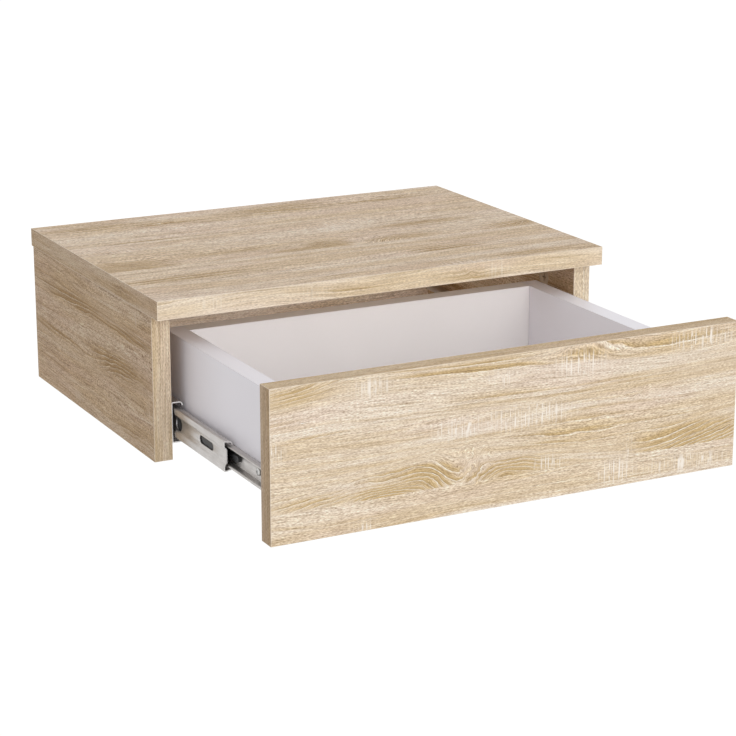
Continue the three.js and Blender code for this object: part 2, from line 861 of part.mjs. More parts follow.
// Pieces that run between the side panel and the drawer
function runningSlide(entry) {
  const group = slideGroup(entry, 0);
  const intermediate = intermediateMember(entry.side);
  const closedY = slideFrontY + memberInset;
  intermediate.position.y = closedY - drawerOpening * intermediateShare;
  const outer = outerCage(entry.side);
  outer.position.y = slideFrontY + outerCageSetback - drawerOpening * outerCageShare;
  const inner = innerCage(entry.side);
  inner.position.y = closedY + innerCageSetback - drawerOpening * innerCageShare;
  group.add(intermediate, outer, inner);
  return group;
}

// Pieces fixed to the drawer side
function drawerSlide(entry) {
  const group = slideGroup(entry, closedInnerFrontY);
  const headU = innerWebU - sheet / 2 - seatGap;
  const name = `inner_slide_screw_${entry.side}`;
  const screws = slideScrews(name, headU, innerScrewPlaces, -Math.PI / 2);
  group.add(innerMember(entry.side), releaseLever(entry.side), ...screws);
  return group;
}

// The drawer, where it is when it is closed
function drawerFront() {
  const board = block(
    [-frontHalfWidth, frontHalfWidth],
    [-overallDepth, closedFrontBackY],
    [bottomZ, frontTopZ],
  );
  const groove = block(
    [-boxInnerX, boxInnerX],
    [closedFrontBackY - grooveDepth, closedFrontBackY + overrun],
    [grooveBottomZ, grooveTopZ],
  );
  const cutters = hands.map(frontJoint).flatMap(mateBoardCutters);
  return piece("drawer_front", cut(board, [groove, ...cutters]), oak);
}

function longScrewZs() {
  const upper = boxTopZ - longScrewBelowBoxTop;
  return [upper, upper - longScrewSpacing];
}

// The countersunk screw, its flat head on z = 0 and its shank along -z, with room around it.
function longScrewForm(room) {
  const end = -longScrewLength - room;
  return turned(
    [
      [0, end],
      [longScrewRadius + room, end + longScrewTipLength],
      [longScrewRadius + room, -longScrewHeadLength],
      [longScrewHeadRadius + room, 0],
      [0, 0],
    ],
    screwSides,
  );
}

function longScrewMatrix(hand, z) {
  const y = closedBoxRearY - drawerBackThickness / 2;
  return jointMatrix([hand * (boxOuterX - pilotRoom), y, z], [hand, 0, 0], [0, 0, 1]);
}

function longScrews({ side, hand }) {
  return longScrewZs().map((z, i) => {
    const made = piece(
      `drawer_back_screw_${side}_${["upper", "lower"][i]}`,
      longScrewForm(0),
      screwSteel,
    );
    made.applyMatrix4(longScrewMatrix(hand, z));
    return made;
  });
}

function longScrewCutters(hand) {
  return longScrewZs().flatMap((z) => {
    const matrix = longScrewMatrix(hand, z).elements;
    const mouth = rod(longScrewHeadRadius + pilotRoom, [0, 0, 0], [0, 0, overrun], screwSides);
    return [longScrewForm(pilotRoom).transform(matrix), mouth.transform(matrix)];
  });
}

function drawerSide({ side, hand }) {
  const frontY = closedFrontBackY + jointGap;
  const board = block(
    [hand * boxInnerX, hand * boxOuterX],
    [frontY, closedBoxRearY],
    [boxBottomZ, boxTopZ],
  );
  const groove = block(
    [hand * (boxInnerX - overrun), hand * (boxInnerX + grooveDepth)],
    [frontY - overrun, closedBoxRearY + overrun],
    [grooveBottomZ, grooveTopZ],
  );
  const openX = hand * (boxOuterX + overrun);
  const pilotX = hand * (boxOuterX - screwLength - pilotRoom);
  const pilots = innerScrewPlaces.map((place) => {
    const y = closedInnerFrontY + place;
    return rod(screwShankRadius + pilotRoom, [openX, y, slideZ], [pilotX, y, slideZ]);
  });
  const cutters = [
    groove,
    ...camBoardCutters(frontJoint({ side, hand })),
    ...pilots,
    ...longScrewCutters(hand),
  ];
  return piece(`drawer_${side}_side`, cut(board, cutters), white);
}

function drawerBack() {
  const halfWidth = boxInnerX - jointGap;
  const frontY = closedBoxRearY - drawerBackThickness;
  const board = block([-halfWidth, halfWidth], [frontY, closedBoxRearY], [boxBottomZ, boxTopZ]);
  const groove = block(
    [-halfWidth - overrun, halfWidth + overrun],
    [frontY - overrun, frontY + grooveDepth],
    [grooveBottomZ, grooveTopZ],
  );
  const screws = hands.flatMap(({ hand }) => longScrewCutters(hand));
  return piece("drawer_back", cut(board, [groove, ...screws]), white);
}

function drawerBottom() {
  const halfWidth = boxInnerX + grooveDepth - grooveRoom;
  const tongue = grooveDepth - grooveRoom;
  const board = block(
    [-halfWidth, halfWidth],
    [closedFrontBackY + jointGap, closedBoxRearY - drawerBackThickness + tongue],
    [grooveBottomZ + grooveRoom, grooveTopZ - grooveRoom],
  );
  const frontTongue = block(
    [-boxInnerX + grooveRoom, boxInnerX - grooveRoom],
    [closedFrontBackY - tongue, closedFrontBackY + overrun],
    [grooveBottomZ + grooveRoom, grooveTopZ - grooveRoom],
  );
  return piece("drawer_bottom", board.add(frontTongue), hardboard);
}

// Assembly
function carcass() {
  const group = new THREE.Group();
  group.add(topPanel(), backPanel());
  for (const entry of hands) {
    const joints = [...topJoints(entry), backJoint(entry)];
    group.add(sidePanel(entry), fixedSlide(entry), ...joints.map(camHardware));
  }
  return group;
}

function drawer() {
  const group = new THREE.Group();
  group.add(drawerFront(), drawerBack(), drawerBottom());
  for (const entry of hands) {
    group.add(drawerSide(entry), drawerSlide(entry), camHardware(frontJoint(entry)));
    group.add(...longScrews(entry));
  }
  group.position.y = -drawerOpening;
  return group;
}

const nightstand = new THREE.Group();
nightstand.add(carcass(), ...hands.map(runningSlide), drawer());

export default nightstand;
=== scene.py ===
# Looks of the wall-hung bedside unit: materials, refined slides and fasteners, camera and light.
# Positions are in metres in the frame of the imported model; the shaders work in millimetres.
import math

import bmesh
import bpy
from mathutils import Matrix, Vector


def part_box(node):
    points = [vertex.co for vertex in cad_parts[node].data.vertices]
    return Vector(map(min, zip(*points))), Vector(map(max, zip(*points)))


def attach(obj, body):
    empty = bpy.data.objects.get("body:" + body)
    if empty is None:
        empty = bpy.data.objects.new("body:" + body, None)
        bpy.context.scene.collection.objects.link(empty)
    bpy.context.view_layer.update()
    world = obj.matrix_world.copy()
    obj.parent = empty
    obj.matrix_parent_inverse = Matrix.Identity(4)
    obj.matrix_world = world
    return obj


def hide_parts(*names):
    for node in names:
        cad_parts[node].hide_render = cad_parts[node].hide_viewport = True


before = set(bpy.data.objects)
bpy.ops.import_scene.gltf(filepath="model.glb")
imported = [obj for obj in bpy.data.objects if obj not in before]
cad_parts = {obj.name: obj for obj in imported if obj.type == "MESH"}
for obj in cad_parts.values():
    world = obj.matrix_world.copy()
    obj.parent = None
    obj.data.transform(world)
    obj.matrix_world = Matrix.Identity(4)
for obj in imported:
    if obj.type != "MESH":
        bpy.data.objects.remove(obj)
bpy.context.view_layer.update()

MM = 0.001
HANDS = (("left", -1), ("right", 1))
X, Y, Z = 0, 1, 2

# Camera, at the photograph's viewpoint: lens in millimetres, angles in radians
CAMERA_PLACE = (-0.8708734, -1.9438213, 0.5252418)
CAMERA_DOWN = 0.2815
CAMERA_HEADING = -0.4771
CAMERA_LENS = 112.05
CAMERA_SENSOR = 36


def add_camera():
    data = bpy.data.cameras.new("photo_view")
    data.lens = CAMERA_LENS
    data.sensor_width = CAMERA_SENSOR
    data.clip_start = 0.05
    data.clip_end = 100
    camera = bpy.data.objects.new("photo_view", data)
    bpy.context.scene.collection.objects.link(camera)
    camera.location = CAMERA_PLACE
    camera.rotation_euler = (math.pi / 2 - CAMERA_DOWN, 0, CAMERA_HEADING)
    bpy.context.scene.camera = camera


add_camera()
bpy.context.scene.view_settings.view_transform = "Standard"

# Node trees
BEVEL_SAMPLES = 4
# The part of a normal along an axis from which a surface counts as looking along it
FACE_NORMAL = (0.70, 0.71)
# How far inside the board's box a surface counts as part of a hole or groove
CUT_DEPTH = (0.12, 0.18)
# Added to the distance along the axis that a face looks along, which is no distance to an edge
FAR_AWAY = 1000.0
SEED_PER_SHIFT = 0.013


class Shader:
    """A Principled material whose node tree is built by short calls."""

    def __init__(self, name):
        self.material = bpy.data.materials.new(name)
        self.material.use_nodes = True
        self.tree = self.material.node_tree
        self.surface = self.tree.nodes["Principled BSDF"]
        self.place = self.node("TexCoord").outputs

    def node(self, kind, inputs=(), **settings):
        made = self.tree.nodes.new("ShaderNode" + kind)
        for key, value in settings.items():
            setattr(made, key, value)
        for key, value in dict(inputs).items():
            self.feed(made.inputs[key], value)
        return made

    def feed(self, socket, value):
        if isinstance(value, bpy.types.NodeSocket):
            self.tree.links.new(value, socket)
        else:
            socket.default_value = value

    def math(self, operation, *values, clamp=False):
        made = self.node("Math", dict(enumerate(values)), operation=operation, use_clamp=clamp)
        return made.outputs[0]

    def add(self, a, b):
        return self.math("ADD", a, b)

    def sub(self, a, b):
        return self.math("SUBTRACT", a, b)

    def mul(self, a, b):
        return self.math("MULTIPLY", a, b)

    def mad(self, a, b, c):
        """a times b, plus c."""
        return self.math("MULTIPLY_ADD", a, b, c)

    def fold(self, operation, values):
        found = values[0]
        for value in values[1:]:
            found = self.math(operation, found, value)
        return found

    def lowest(self, *values):
        return self.fold("MINIMUM", values)

    def highest(self, *values):
        return self.fold("MAXIMUM", values)

    def step(self, value, start, end, low=0.0, high=1.0, smooth=True):
        """Runs from low to high as value runs from start to end."""
        made = self.node("MapRange", {0: value, 1: start, 2: end, 3: low, 4: high}, clamp=True)
        made.interpolation_type = "SMOOTHSTEP" if smooth else "LINEAR"
        return made.outputs[0]

    def between(self, value, low, high):
        """1 where value lies between low and high."""
        above = self.math("GREATER_THAN", value, low)
        return self.mul(above, self.math("LESS_THAN", value, high))

    def point(self, x, y, z):
        return self.node("CombineXYZ", {0: x, 1: y, 2: z}).outputs[0]

    def vector(self, operation, a, b=(0, 0, 0), c=(0, 0, 0)):
        made = self.node("VectorMath", operation=operation)
        for socket, value in zip(made.inputs[:3], (a, b, c)):
            self.feed(socket, value)
        return made.outputs["Value" if operation == "LENGTH" else "Vector"]

    def choose(self, factor, a, b):
        """The vector a where factor is 0 and b where it is 1."""
        return self.node("Mix", {0: factor, 4: a, 5: b}, data_type="VECTOR").outputs[1]

    def blend(self, factor, a, b, kind="MIX"):
        """The colour a with b laid over it by the share factor."""
        made = self.node("Mix", {0: factor}, data_type="RGBA", blend_type=kind)
        self.feed(made.inputs[6], a)
        self.feed(made.inputs[7], b)
        return made.outputs[2]

    def noise(self, point, scale=1.0, detail=2.0, roughness=0.5):
        inputs = {"Vector": point, "Scale": scale, "Detail": detail, "Roughness": roughness}
        return self.node("TexNoise", inputs).outputs[0]

    def streaks(self, along, across, length, height, seed, detail=2.0, roughness=0.5):
        """Noise whose features are about length by height millimetres."""
        point = self.point(self.mul(along, 1 / length), self.mul(across, 1 / height), seed)
        return self.noise(point, detail=detail, roughness=roughness)

    def millimetres(self):
        return self.vector("MULTIPLY", self.place["Object"], (1 / MM, 1 / MM, 1 / MM))

    def axes(self, vector):
        return self.node("SeparateXYZ", {0: vector}).outputs[:3]

    def finish(self, color, roughness, bump, strength, distance, edge):
        """Feeds the surface; bump is a height, distance and edge are in millimetres."""
        self.feed(self.surface.inputs["Base Color"], color)
        self.feed(self.surface.inputs["Roughness"], roughness)
        rounded = self.node("Bevel", {"Radius": edge * MM}, samples=BEVEL_SAMPLES).outputs[0]
        inputs = {"Height": bump, "Strength": strength, "Distance": distance * MM, "Normal": rounded}
        self.feed(self.surface.inputs["Normal"], self.node("Bump", inputs).outputs[0])
        return self.material


def rgb(red, green, blue):
    return (red, green, blue, 1.0)


def scaled(tone, factor):
    return rgb(*(factor * part for part in tone))


class BoardShader(Shader):
    """A shader that knows the faces, edges and cuts of one board, in millimetres.

    face and sign tell for each axis whether the surface looks along it, and which way. cut is 1
    inside holes and grooves, and border is the distance to the nearest edge of the face.
    """

    def __init__(self, name, node):
        super().__init__(name)
        low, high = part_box(node)
        self.axis = self.axes(self.millimetres())
        normals = self.axes(self.place["Normal"])
        self.face = [self.step(self.math("ABSOLUTE", n), *FACE_NORMAL, smooth=False) for n in normals]
        self.sign = [self.math("SIGN", n) for n in normals]
        depths = []
        for axis, a, b in zip(self.axis, low, high):
            depths.append(self.lowest(self.sub(axis, a / MM), self.sub(b / MM, axis)))
        self.cut = self.step(self.lowest(*depths), *CUT_DEPTH, smooth=False)
        away = [self.mad(face, FAR_AWAY, depth) for face, depth in zip(self.face, depths)]
        self.border = self.lowest(*away)

    def spread(self, table):
        """The point (along, across, seed) on each face.

        table has (along, across, shift) for the faces that look along X, Y and Z.
        """
        points = []
        for along, across, shift in table:
            start = self.add(self.axis[along], shift) if shift else self.axis[along]
            points.append(self.point(start, self.axis[across], shift * SEED_PER_SHIFT))
        found = self.choose(self.face[Y], points[X], points[Y])
        return self.choose(self.face[Z], found, points[Z])

    def core(self):
        """Chipboard chips, as they show in holes and on raw edges: their colour and height."""
        point = self.millimetres()
        chips = self.node("TexVoronoi", {"Vector": point, "Scale": 0.55}).outputs
        tone = self.axes(chips["Color"])[0]
        fine = self.noise(point, 1.7, 3.0)
        pale, tan, dark = rgb(0.56, 0.42, 0.27), rgb(0.42, 0.29, 0.17), rgb(0.24, 0.15, 0.08)
        color = self.blend(self.step(tone, 0.2, 1.0), pale, tan)
        color = self.blend(self.step(fine, 0.58, 0.75), color, dark)
        return color, self.mad(tone, 0.6, fine)


# Oak laminate
OAK_PALE = rgb(0.810, 0.690, 0.562)
OAK_MID = rgb(0.712, 0.570, 0.402)
OAK_TAN = rgb(0.590, 0.425, 0.215)
OAK_DEEP_TAN = rgb(0.480, 0.335, 0.165)
OAK_LINE = rgb(0.400, 0.280, 0.140)
OAK_LIME = rgb(0.930, 0.840, 0.720)
OAK_BLUSH = rgb(0.760, 0.610, 0.510)
OAK_MARK = rgb(0.930, 0.860, 0.770)
OAK_SHINE = 0.14
FIBRE_DEPTH = 1.75
THREAD_DEPTH = 1.15
FIBRE_TINT = (0.88, 1.00, 1.10)
BRIGHTEST = (0.95, 0.95, 0.95)
RING_PERIOD = 6.5
SEED_PER_PLANK = 5.37
# Saw marks: the distance from one to the next, their strength and what their seed adds
SAW_COMBS = ((4.6, 1.0, 0.0), (2.3, 0.55, 3.7))


def bells(s, point, places):
    """Sum of smooth bells; each place is (along, across, half length, half height, size)."""
    total = None
    for along, across, length, height, size in places:
        scale = (1 / length, 1 / height, 0)
        offset = (-along / length, -across / height, 0)
        away = s.vector("LENGTH", s.vector("MULTIPLY_ADD", point, scale, offset))
        bell = s.step(away, 0.0, 1.0, size, 0.0)
        total = bell if total is None else s.add(total, bell)
    return total


def saw_marks(s, along, across, seed):
    """Thin pale lines across the grain, as a band saw leaves them, broken into short lengths."""
    jitter = s.noise(s.point(s.mul(along, 0.11), s.mul(across, 0.003), seed), detail=1.0)
    total = 0.0
    for pitch, size, shift in SAW_COMBS:
        comb = s.math("FRACT", s.mad(along, 1 / pitch, s.mul(jitter, 3.0)))
        line = s.step(s.math("ABSOLUTE", s.sub(comb, 0.5)), 0.06, 0.19, size, 0.0)
        broken = s.streaks(along, across, 2.6, 8.0, s.add(seed, shift), 1.0)
        total = s.add(total, s.mul(line, s.step(broken, 0.40, 0.54)))
    return s.lowest(total, 1.0)


def bent_grain(s, point, seed, planks, curls):
    """Each plank's seed, the place across its bent grain and the strength of its tan patches."""
    along, across, face_seed = s.axes(point)
    plank = s.add(face_seed, seed)
    for low, *_ in planks:
        plank = s.add(plank, s.mul(s.math("GREATER_THAN", across, low), SEED_PER_PLANK))
    bend = s.mul(s.sub(s.streaks(along, across, 260.0, 45.0, plank, 1.0), 0.5), 30.0)
    band = s.streaks(along, s.add(across, bend), 150.0, 5.5, s.add(plank, 3.1), 2.0, 0.6)
    patch = s.step(band, 0.50, 0.66, 0.0, 0.5)
    for low, high, figures, tans in planks:
        within = s.between(across, low, high)
        if figures:
            figure = s.mul(bells(s, point, figures), within)
            wave = s.sub(s.streaks(along, across, 30.0, 16.0, s.add(plank, 4.0), 2.0), 0.5)
            size = s.step(s.math("ABSOLUTE", figure), 1.0, 12.0, 0.0, 14.0, smooth=False)
            bend = s.add(s.add(bend, figure), s.mul(wave, size))
        if tans:
            patch = s.add(patch, s.mul(bells(s, point, tans), within))
    if curls:
        curl = s.sub(s.streaks(along, across, 8.0, 7.0, s.add(plank, 7.3), 2.0), 0.5)
        bend = s.add(bend, s.mul(curl, bells(s, point, curls)))
    return plank, s.add(across, bend), patch


def growth_rings(s, along, grain, plank):
    """For each ring its dark late wood, the pale rim at its end and the dark line at its start."""
    ripple = s.sub(s.streaks(along, grain, 18.0, 3.0, plank, 2.0), 0.5)
    ring = s.math("FRACT", s.mad(grain, 1 / RING_PERIOD, s.mul(ripple, 0.45)))
    late = s.mul(s.step(ring, 0.0, 0.9, 1.0, 0.0), s.step(ring, 0.0, 0.05))
    rim = s.mul(s.step(ring, 0.80, 0.93), s.step(ring, 0.97, 1.0, 1.0, 0.0))
    line = s.mul(s.step(ring, 0.0, 0.04), s.step(ring, 0.08, 0.24, 1.0, 0.0))
    return late, rim, line


def board_tones(s, point, seed, planks, curls, tan):
    """The plank's seed, the bent grain, the late wood, and a colour made of all but the fibres."""
    along, across = s.axes(point)[:2]
    plank, grain, patch = bent_grain(s, point, seed, planks, curls)
    late, rim, line = growth_rings(s, along, grain, plank)
    broad = s.streaks(along, grain, 330.0, 17.0, plank, 2.0, 0.55)
    haze = s.streaks(along, across, 120.0, 24.0, s.add(plank, 8.4), 1.0)
    vein = s.streaks(along, grain, 75.0, 1.5, s.add(plank, 5.5), 2.0, 0.5)
    stain = s.math("MULTIPLY", patch, s.mad(late, 0.62, 0.34), clamp=True)
    color = s.blend(s.step(broad, 0.36, 0.62), OAK_PALE, OAK_MID)
    color = s.blend(s.step(haze, 0.48, 0.70, 0.0, 0.45), color, OAK_BLUSH)
    color = s.blend(s.mul(stain, 0.95), color, tan)
    color = s.blend(s.math("MULTIPLY", rim, s.mul(patch, 0.45), clamp=True), color, OAK_LIME)
    color = s.blend(s.math("MULTIPLY", line, s.mul(patch, 0.40), clamp=True), color, OAK_LINE)
    color = s.blend(s.step(vein, 0.55, 0.74, 0.0, 0.50), color, OAK_LINE)
    color = s.blend(s.step(vein, 0.45, 0.28, 0.0, 0.35), color, OAK_LIME)
    return plank, grain, late, color


def bare_wood(s, raw):
    """1 in holes and grooves and on the faces without laminate."""
    bare = s.cut
    for axis, sign in raw:
        facing = s.mul(s.face[axis], s.step(s.mul(s.sign[axis], float(sign)), 0.0, 0.5))
        bare = s.highest(bare, s.mul(facing, s.step(s.border, 0.25, 0.4)))
    return bare


def oak(node, table, seed, planks, curls=(), marks=(), tints=(), raw=(), tan=OAK_TAN, coarse=(),
        calm=()):
    """The printed oak of one board.

    table gives each face its grain. A plank is (low, high, figures, tans): the stretch across the
    grain that it fills, its bulging growth rings and its tan patches. curls and marks place the
    finely curled grain and the pale saw marks; the (axis, tone) pairs of painted shading darken or
    lighten the faces that look along that axis, as painted shade and painted light for how the
    light falls on each side of the board; raw has (axis, sign) for faces without laminate. coarse
    and calm give (axis, factor) for faces whose fibres are thicker, and for those whose fibres
    stand out less.
    """
    s = BoardShader("oak_" + node, node)
    point = s.spread(table)
    along, across = s.axes(point)[:2]
    plank, grain, late, color = board_tones(s, point, seed, planks, curls, tan)

    # Fibres, threads and pores; their middle tone leaves the colour as it is
    fine = grain
    for axis, factor in coarse:
        fine = s.mul(fine, s.mad(s.face[axis], 1 / factor - 1.0, 1.0))
    fibre = s.streaks(along, fine, 2.4, 0.38, s.add(plank, 1.7), 1.0, 0.5)
    thread = s.streaks(along, fine, 16.0, 0.45, s.add(plank, 9.2), 1.0)
    pore = s.streaks(along, fine, 4.0, 0.5, s.add(plank, 6.2), 1.0)
    middle = 0.5 * (FIBRE_DEPTH + THREAD_DEPTH)
    swing = s.mad(fibre, -FIBRE_DEPTH, s.mad(thread, -THREAD_DEPTH, middle))
    for axis, factor in calm:
        swing = s.mul(swing, s.mad(s.face[axis], factor - 1.0, 1.0))
    shade = s.vector("MULTIPLY_ADD", s.point(swing, swing, swing), FIBRE_TINT, (1.0, 1.0, 1.0))
    color = s.vector("MINIMUM", s.blend(1.0, color, shade, "MULTIPLY"), BRIGHTEST)
    color = s.blend(s.step(pore, 0.62, 0.70, 0.0, 0.35), color, OAK_LINE)

    if marks:
        where = s.lowest(bells(s, point, marks), 1.0)
        mark = s.mad(saw_marks(s, along, across, s.add(plank, 2.2)), 0.90, 0.08)
        color = s.blend(s.mul(mark, where), color, OAK_MARK)
    # Painted shade and painted light: each face is darkened or lightened by the way it looks
    for axis, tone in tints:
        color = s.blend(s.face[axis], color, s.blend(1.0, color, tone, "MULTIPLY"))
    # A paler line along the edges of each face: a painted highlight where the edges catch the light
    color = s.blend(s.step(s.border, 0.25, 0.55, 0.45, 0.0), color, OAK_LIME)

    core, chips = s.core()
    bare = bare_wood(s, raw)
    color = s.blend(bare, color, core)
    relief = s.mad(fibre, -0.7, s.mad(pore, -0.5, s.mul(late, -0.3)))
    relief = s.add(s.mul(relief, s.sub(1.0, bare)), s.mul(chips, bare))
    rough = s.mad(fibre, 0.18, s.mad(bare, 0.20, 0.48))
    s.surface.inputs["Specular IOR Level"].default_value = OAK_SHINE
    return s.finish(color, rough, relief, strength=0.35, distance=0.12, edge=0.35)


# Painted shading: faces that look along an axis are darkened, or lightened above 1, as painted shade
# and painted light for how the light falls on each side; the back's lift is painted bounced light
FRONT_PAINTED_SHADING = (
    (X, rgb(0.683, 0.617, 0.558)),
    (Y, rgb(0.990, 0.985, 0.980)),
    (Z, rgb(0.776, 0.698, 0.577)),
)
TOP_PAINTED_SHADING = (
    (X, rgb(0.675, 0.596, 0.510)),
    (Y, rgb(1.022, 1.030, 1.015)),
    (Z, rgb(0.900, 0.855, 0.822)),
)
LEFT_PAINTED_SHADING = ((X, rgb(0.690, 0.606, 0.522)), (Y, rgb(0.890, 0.855, 0.775)))
RIGHT_PAINTED_SHADING = ((X, rgb(0.745, 0.645, 0.555)), (Y, rgb(1.070, 1.100, 1.140)))
BACK_PAINTED_SHADING = ((Y, rgb(1.140, 1.115, 1.160)),)

# A plank is (low, high, figures, tans); each row of a figure, tan, curl or mark is
# (along, across, half length, half height, size)
FRONT_PLANKS = (
    (-70.0, -46.0, (), (
        (-140.0, -62.0, 70.0, 7.0, 0.5),
        (40.0, -56.0, 150.0, 9.0, -0.3),
    )),
    (-46.0, 9.0, (
        (-66.0, -66.0, 190.0, 60.0, -46.0),
        (-50.0, -60.0, 44.0, 50.0, 46.0),
        (-116.0, -46.0, 34.0, 9.0, -7.0),
        (262.0, -68.0, 160.0, 66.0, -84.0),
    ), (
        (56.0, -16.0, 74.0, 18.0, 1.0),
        (-95.0, -29.0, 60.0, 10.0, 1.3),
        (-72.0, -36.0, 32.0, 14.0, 2.4),
        (-115.0, -43.0, 36.0, 9.0, 2.4),
        (-175.0, -40.0, 60.0, 10.0, 1.1),
        (0.0, -40.0, 76.0, 14.0, 1.5),
        (165.0, -38.0, 80.0, 19.0, 2.6),
        (-120.0, -8.0, 90.0, 12.0, -0.7),
        (160.0, 2.0, 70.0, 14.0, -0.5),
    )),
    (9.0, 52.0, (
        (-212.0, 60.0, 70.0, 30.0, 26.0),
        (-30.0, 60.0, 110.0, 18.0, 12.0),
        (72.0, 60.0, 70.0, 26.0, -9.0),
    ), (
        (-36.0, 45.0, 90.0, 10.0, 1.4),
        (70.0, 45.0, 50.0, 9.0, 2.0),
        (152.0, 43.0, 74.0, 12.0, 1.7),
        (-186.0, 43.0, 40.0, 12.0, 1.2),
        (-165.0, 9.0, 60.0, 4.0, 0.9),
        (-20.0, 20.0, 80.0, 9.0, 0.4),
        (-150.0, 28.0, 70.0, 10.0, -0.5),
        (160.0, 20.0, 60.0, 10.0, -0.4),
    )),
)
FRONT_CURLS = (
    (-34.0, -30.0, 28.0, 24.0, 26.0),
    (-78.0, -42.0, 24.0, 14.0, 12.0),
    (112.0, 7.0, 26.0, 12.0, 14.0),
)
FRONT_MARKS = (
    (-124.0, 41.0, 26.0, 12.0, 1.1),
    (-12.0, 34.0, 18.0, 10.0, 1.1),
    (58.0, 36.0, 34.0, 16.0, 1.5),
    (174.0, 42.0, 46.0, 13.0, 1.4),
    (-204.0, 1.0, 12.0, 13.0, 1.2),
    (-50.0, -1.0, 30.0, 14.0, 1.3),
    (10.0, 0.0, 60.0, 15.0, 1.5),
    (32.0, -41.0, 22.0, 10.0, 1.1),
    (106.0, -38.0, 8.0, 14.0, 0.9),
    (94.0, -57.0, 24.0, 14.0, 1.6),
    (160.0, -60.0, 56.0, 10.0, 1.3),
    (-130.0, -66.0, 16.0, 8.0, 0.9),
)
TOP_PLANKS = (
    (-301.0, -194.0, (), (
        (82.0, -240.0, 56.0, 13.0, 1.8),
        (-154.0, -236.0, 76.0, 14.0, 1.3),
        (150.0, -288.0, 70.0, 12.0, 0.9),
        (-60.0, -214.0, 150.0, 14.0, -0.6),
        (-20.0, -262.0, 150.0, 12.0, -0.4),
    )),
    (-194.0, -97.0, (
        (15.0, -214.0, 180.0, 60.0, -46.0),
        (31.0, -208.0, 44.0, 52.0, 46.0),
        (-36.0, -194.0, 34.0, 9.0, -7.0),
        (-230.0, -216.0, 92.0, 74.0, -62.0),
        (252.0, -214.0, 110.0, 62.0, -70.0),
    ), (
        (-30.0, -188.0, 40.0, 10.0, 1.8),
        (2.0, -180.0, 32.0, 22.0, 2.4),
        (76.0, -184.0, 70.0, 18.0, 1.1),
        (192.0, -182.0, 54.0, 18.0, 1.8),
        (-186.0, -182.0, 56.0, 30.0, 2.2),
        (120.0, -141.0, 76.0, 18.0, 1.3),
        (-80.0, -172.0, 110.0, 16.0, 0.7),
        (-60.0, -124.0, 130.0, 18.0, -0.8),
        (120.0, -110.0, 90.0, 12.0, -0.6),
    )),
    (-97.0, 1.0, (), (
        (20.0, -28.0, 80.0, 26.0, 1.5),
        (-160.0, -26.0, 80.0, 20.0, 1.3),
        (130.0, -34.0, 80.0, 12.0, 1.3),
        (-98.0, -36.0, 36.0, 12.0, 1.6),
        (-112.0, -96.0, 110.0, 5.0, 1.6),
        (-80.0, -66.0, 120.0, 18.0, -0.9),
        (30.0, -72.0, 120.0, 16.0, -0.8),
    )),
    # The top's front edge, where along is 600 more than x
    (50.0, 72.0, (), (
        (676.0, 60.0, 50.0, 8.0, 0.7),
        (540.0, 58.0, 60.0, 5.0, 0.5),
        (770.0, 62.0, 100.0, 14.0, -0.7),
    )),
)
TOP_CURLS = (
    (44.0, -170.0, 30.0, 26.0, 22.0),
    (0.0, -184.0, 24.0, 14.0, 8.0),
    (-94.0, -36.0, 34.0, 16.0, 11.0),
    (104.0, -34.0, 40.0, 14.0, 10.0),
    (196.0, -184.0, 24.0, 12.0, 12.0),
    (674.0, 62.0, 24.0, 12.0, 8.0),
)
TOP_MARKS = (
    (60.0, -108.0, 60.0, 16.0, 1.0),
    (40.0, -128.0, 24.0, 18.0, 1.0),
    (-170.0, -120.0, 60.0, 18.0, 0.6),
    (80.0, -296.0, 60.0, 18.0, 0.8),
    (438.0, 62.0, 26.0, 12.0, 0.40),
    (530.0, 62.0, 20.0, 12.0, 0.35),
    (704.0, 62.0, 22.0, 12.0, 0.40),
)
SIDE_PLANKS = (
    (-71.0, -19.0, (
        (-250.0, -70.0, 90.0, 30.0, -12.0),
    ), (
        (-50.0, -36.0, 60.0, 14.0, 0.5),
        (-230.0, -58.0, 70.0, 8.0, 0.8),
    )),
    (-19.0, 20.0, (
        (-242.0, -34.0, 130.0, 44.0, -40.0),
        (10.0, -30.0, 80.0, 30.0, -14.0),
    ), (
        (-200.0, -8.0, 100.0, 18.0, 1.7),
        (-50.0, -14.0, 80.0, 6.0, 1.6),
        (-120.0, 12.0, 90.0, 10.0, -0.6),
    )),
    (20.0, 55.0, (
        (-170.0, 16.0, 150.0, 22.0, -14.0),
    ), (
        (-100.0, 26.0, 110.0, 12.0, 1.7),
        (-230.0, 24.0, 80.0, 7.0, 1.5),
        (-200.0, 46.0, 90.0, 8.0, -0.6),
    )),
)
SIDE_MARKS = (
    (-247.0, 43.0, 18.0, 11.0, 1.2),
    (-105.0, -60.0, 16.0, 10.0, 1.0),
    (-274.0, -31.0, 12.0, 14.0, 0.9),
)
BACK_PLANKS = ((-60.0, -20.0, (), ()), (-20.0, 22.0, (), ()), (22.0, 60.0, (), ()))

# For the faces that look along X, Y and Z: the grain's axis, the axis across it, and a shift
TOP_TABLE = ((Y, Z, 900.0), (X, Z, 600.0), (X, Y, 0.0))
SIDE_TABLE = ((Y, Z, 0.0), (Z, X, 700.0), (Y, X, 500.0))
BACK_TABLE = ((Z, Y, 500.0), (X, Z, 0.0), (X, Y, 800.0))
FRONT_TABLE = ((Z, Y, 700.0), (X, Z, 0.0), (X, Y, 900.0))
RAW_REAR = ((Y, 1),)
RAW_LONG_EDGES = ((Z, -1), (Z, 1))
TOP_COARSE = ((Z, 2.4),)
TOP_CALM = ((Y, 0.6),)
SIDE_COARSE = ((X, 2.0),)


def coat(mesh, material):
    mesh.materials.clear()
    mesh.materials.append(material)


def dress(node, material):
    coat(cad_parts[node].data, material)


def dress_oak(node, table, seed, planks, **more):
    dress(node, oak(node, table, seed, planks, **more))


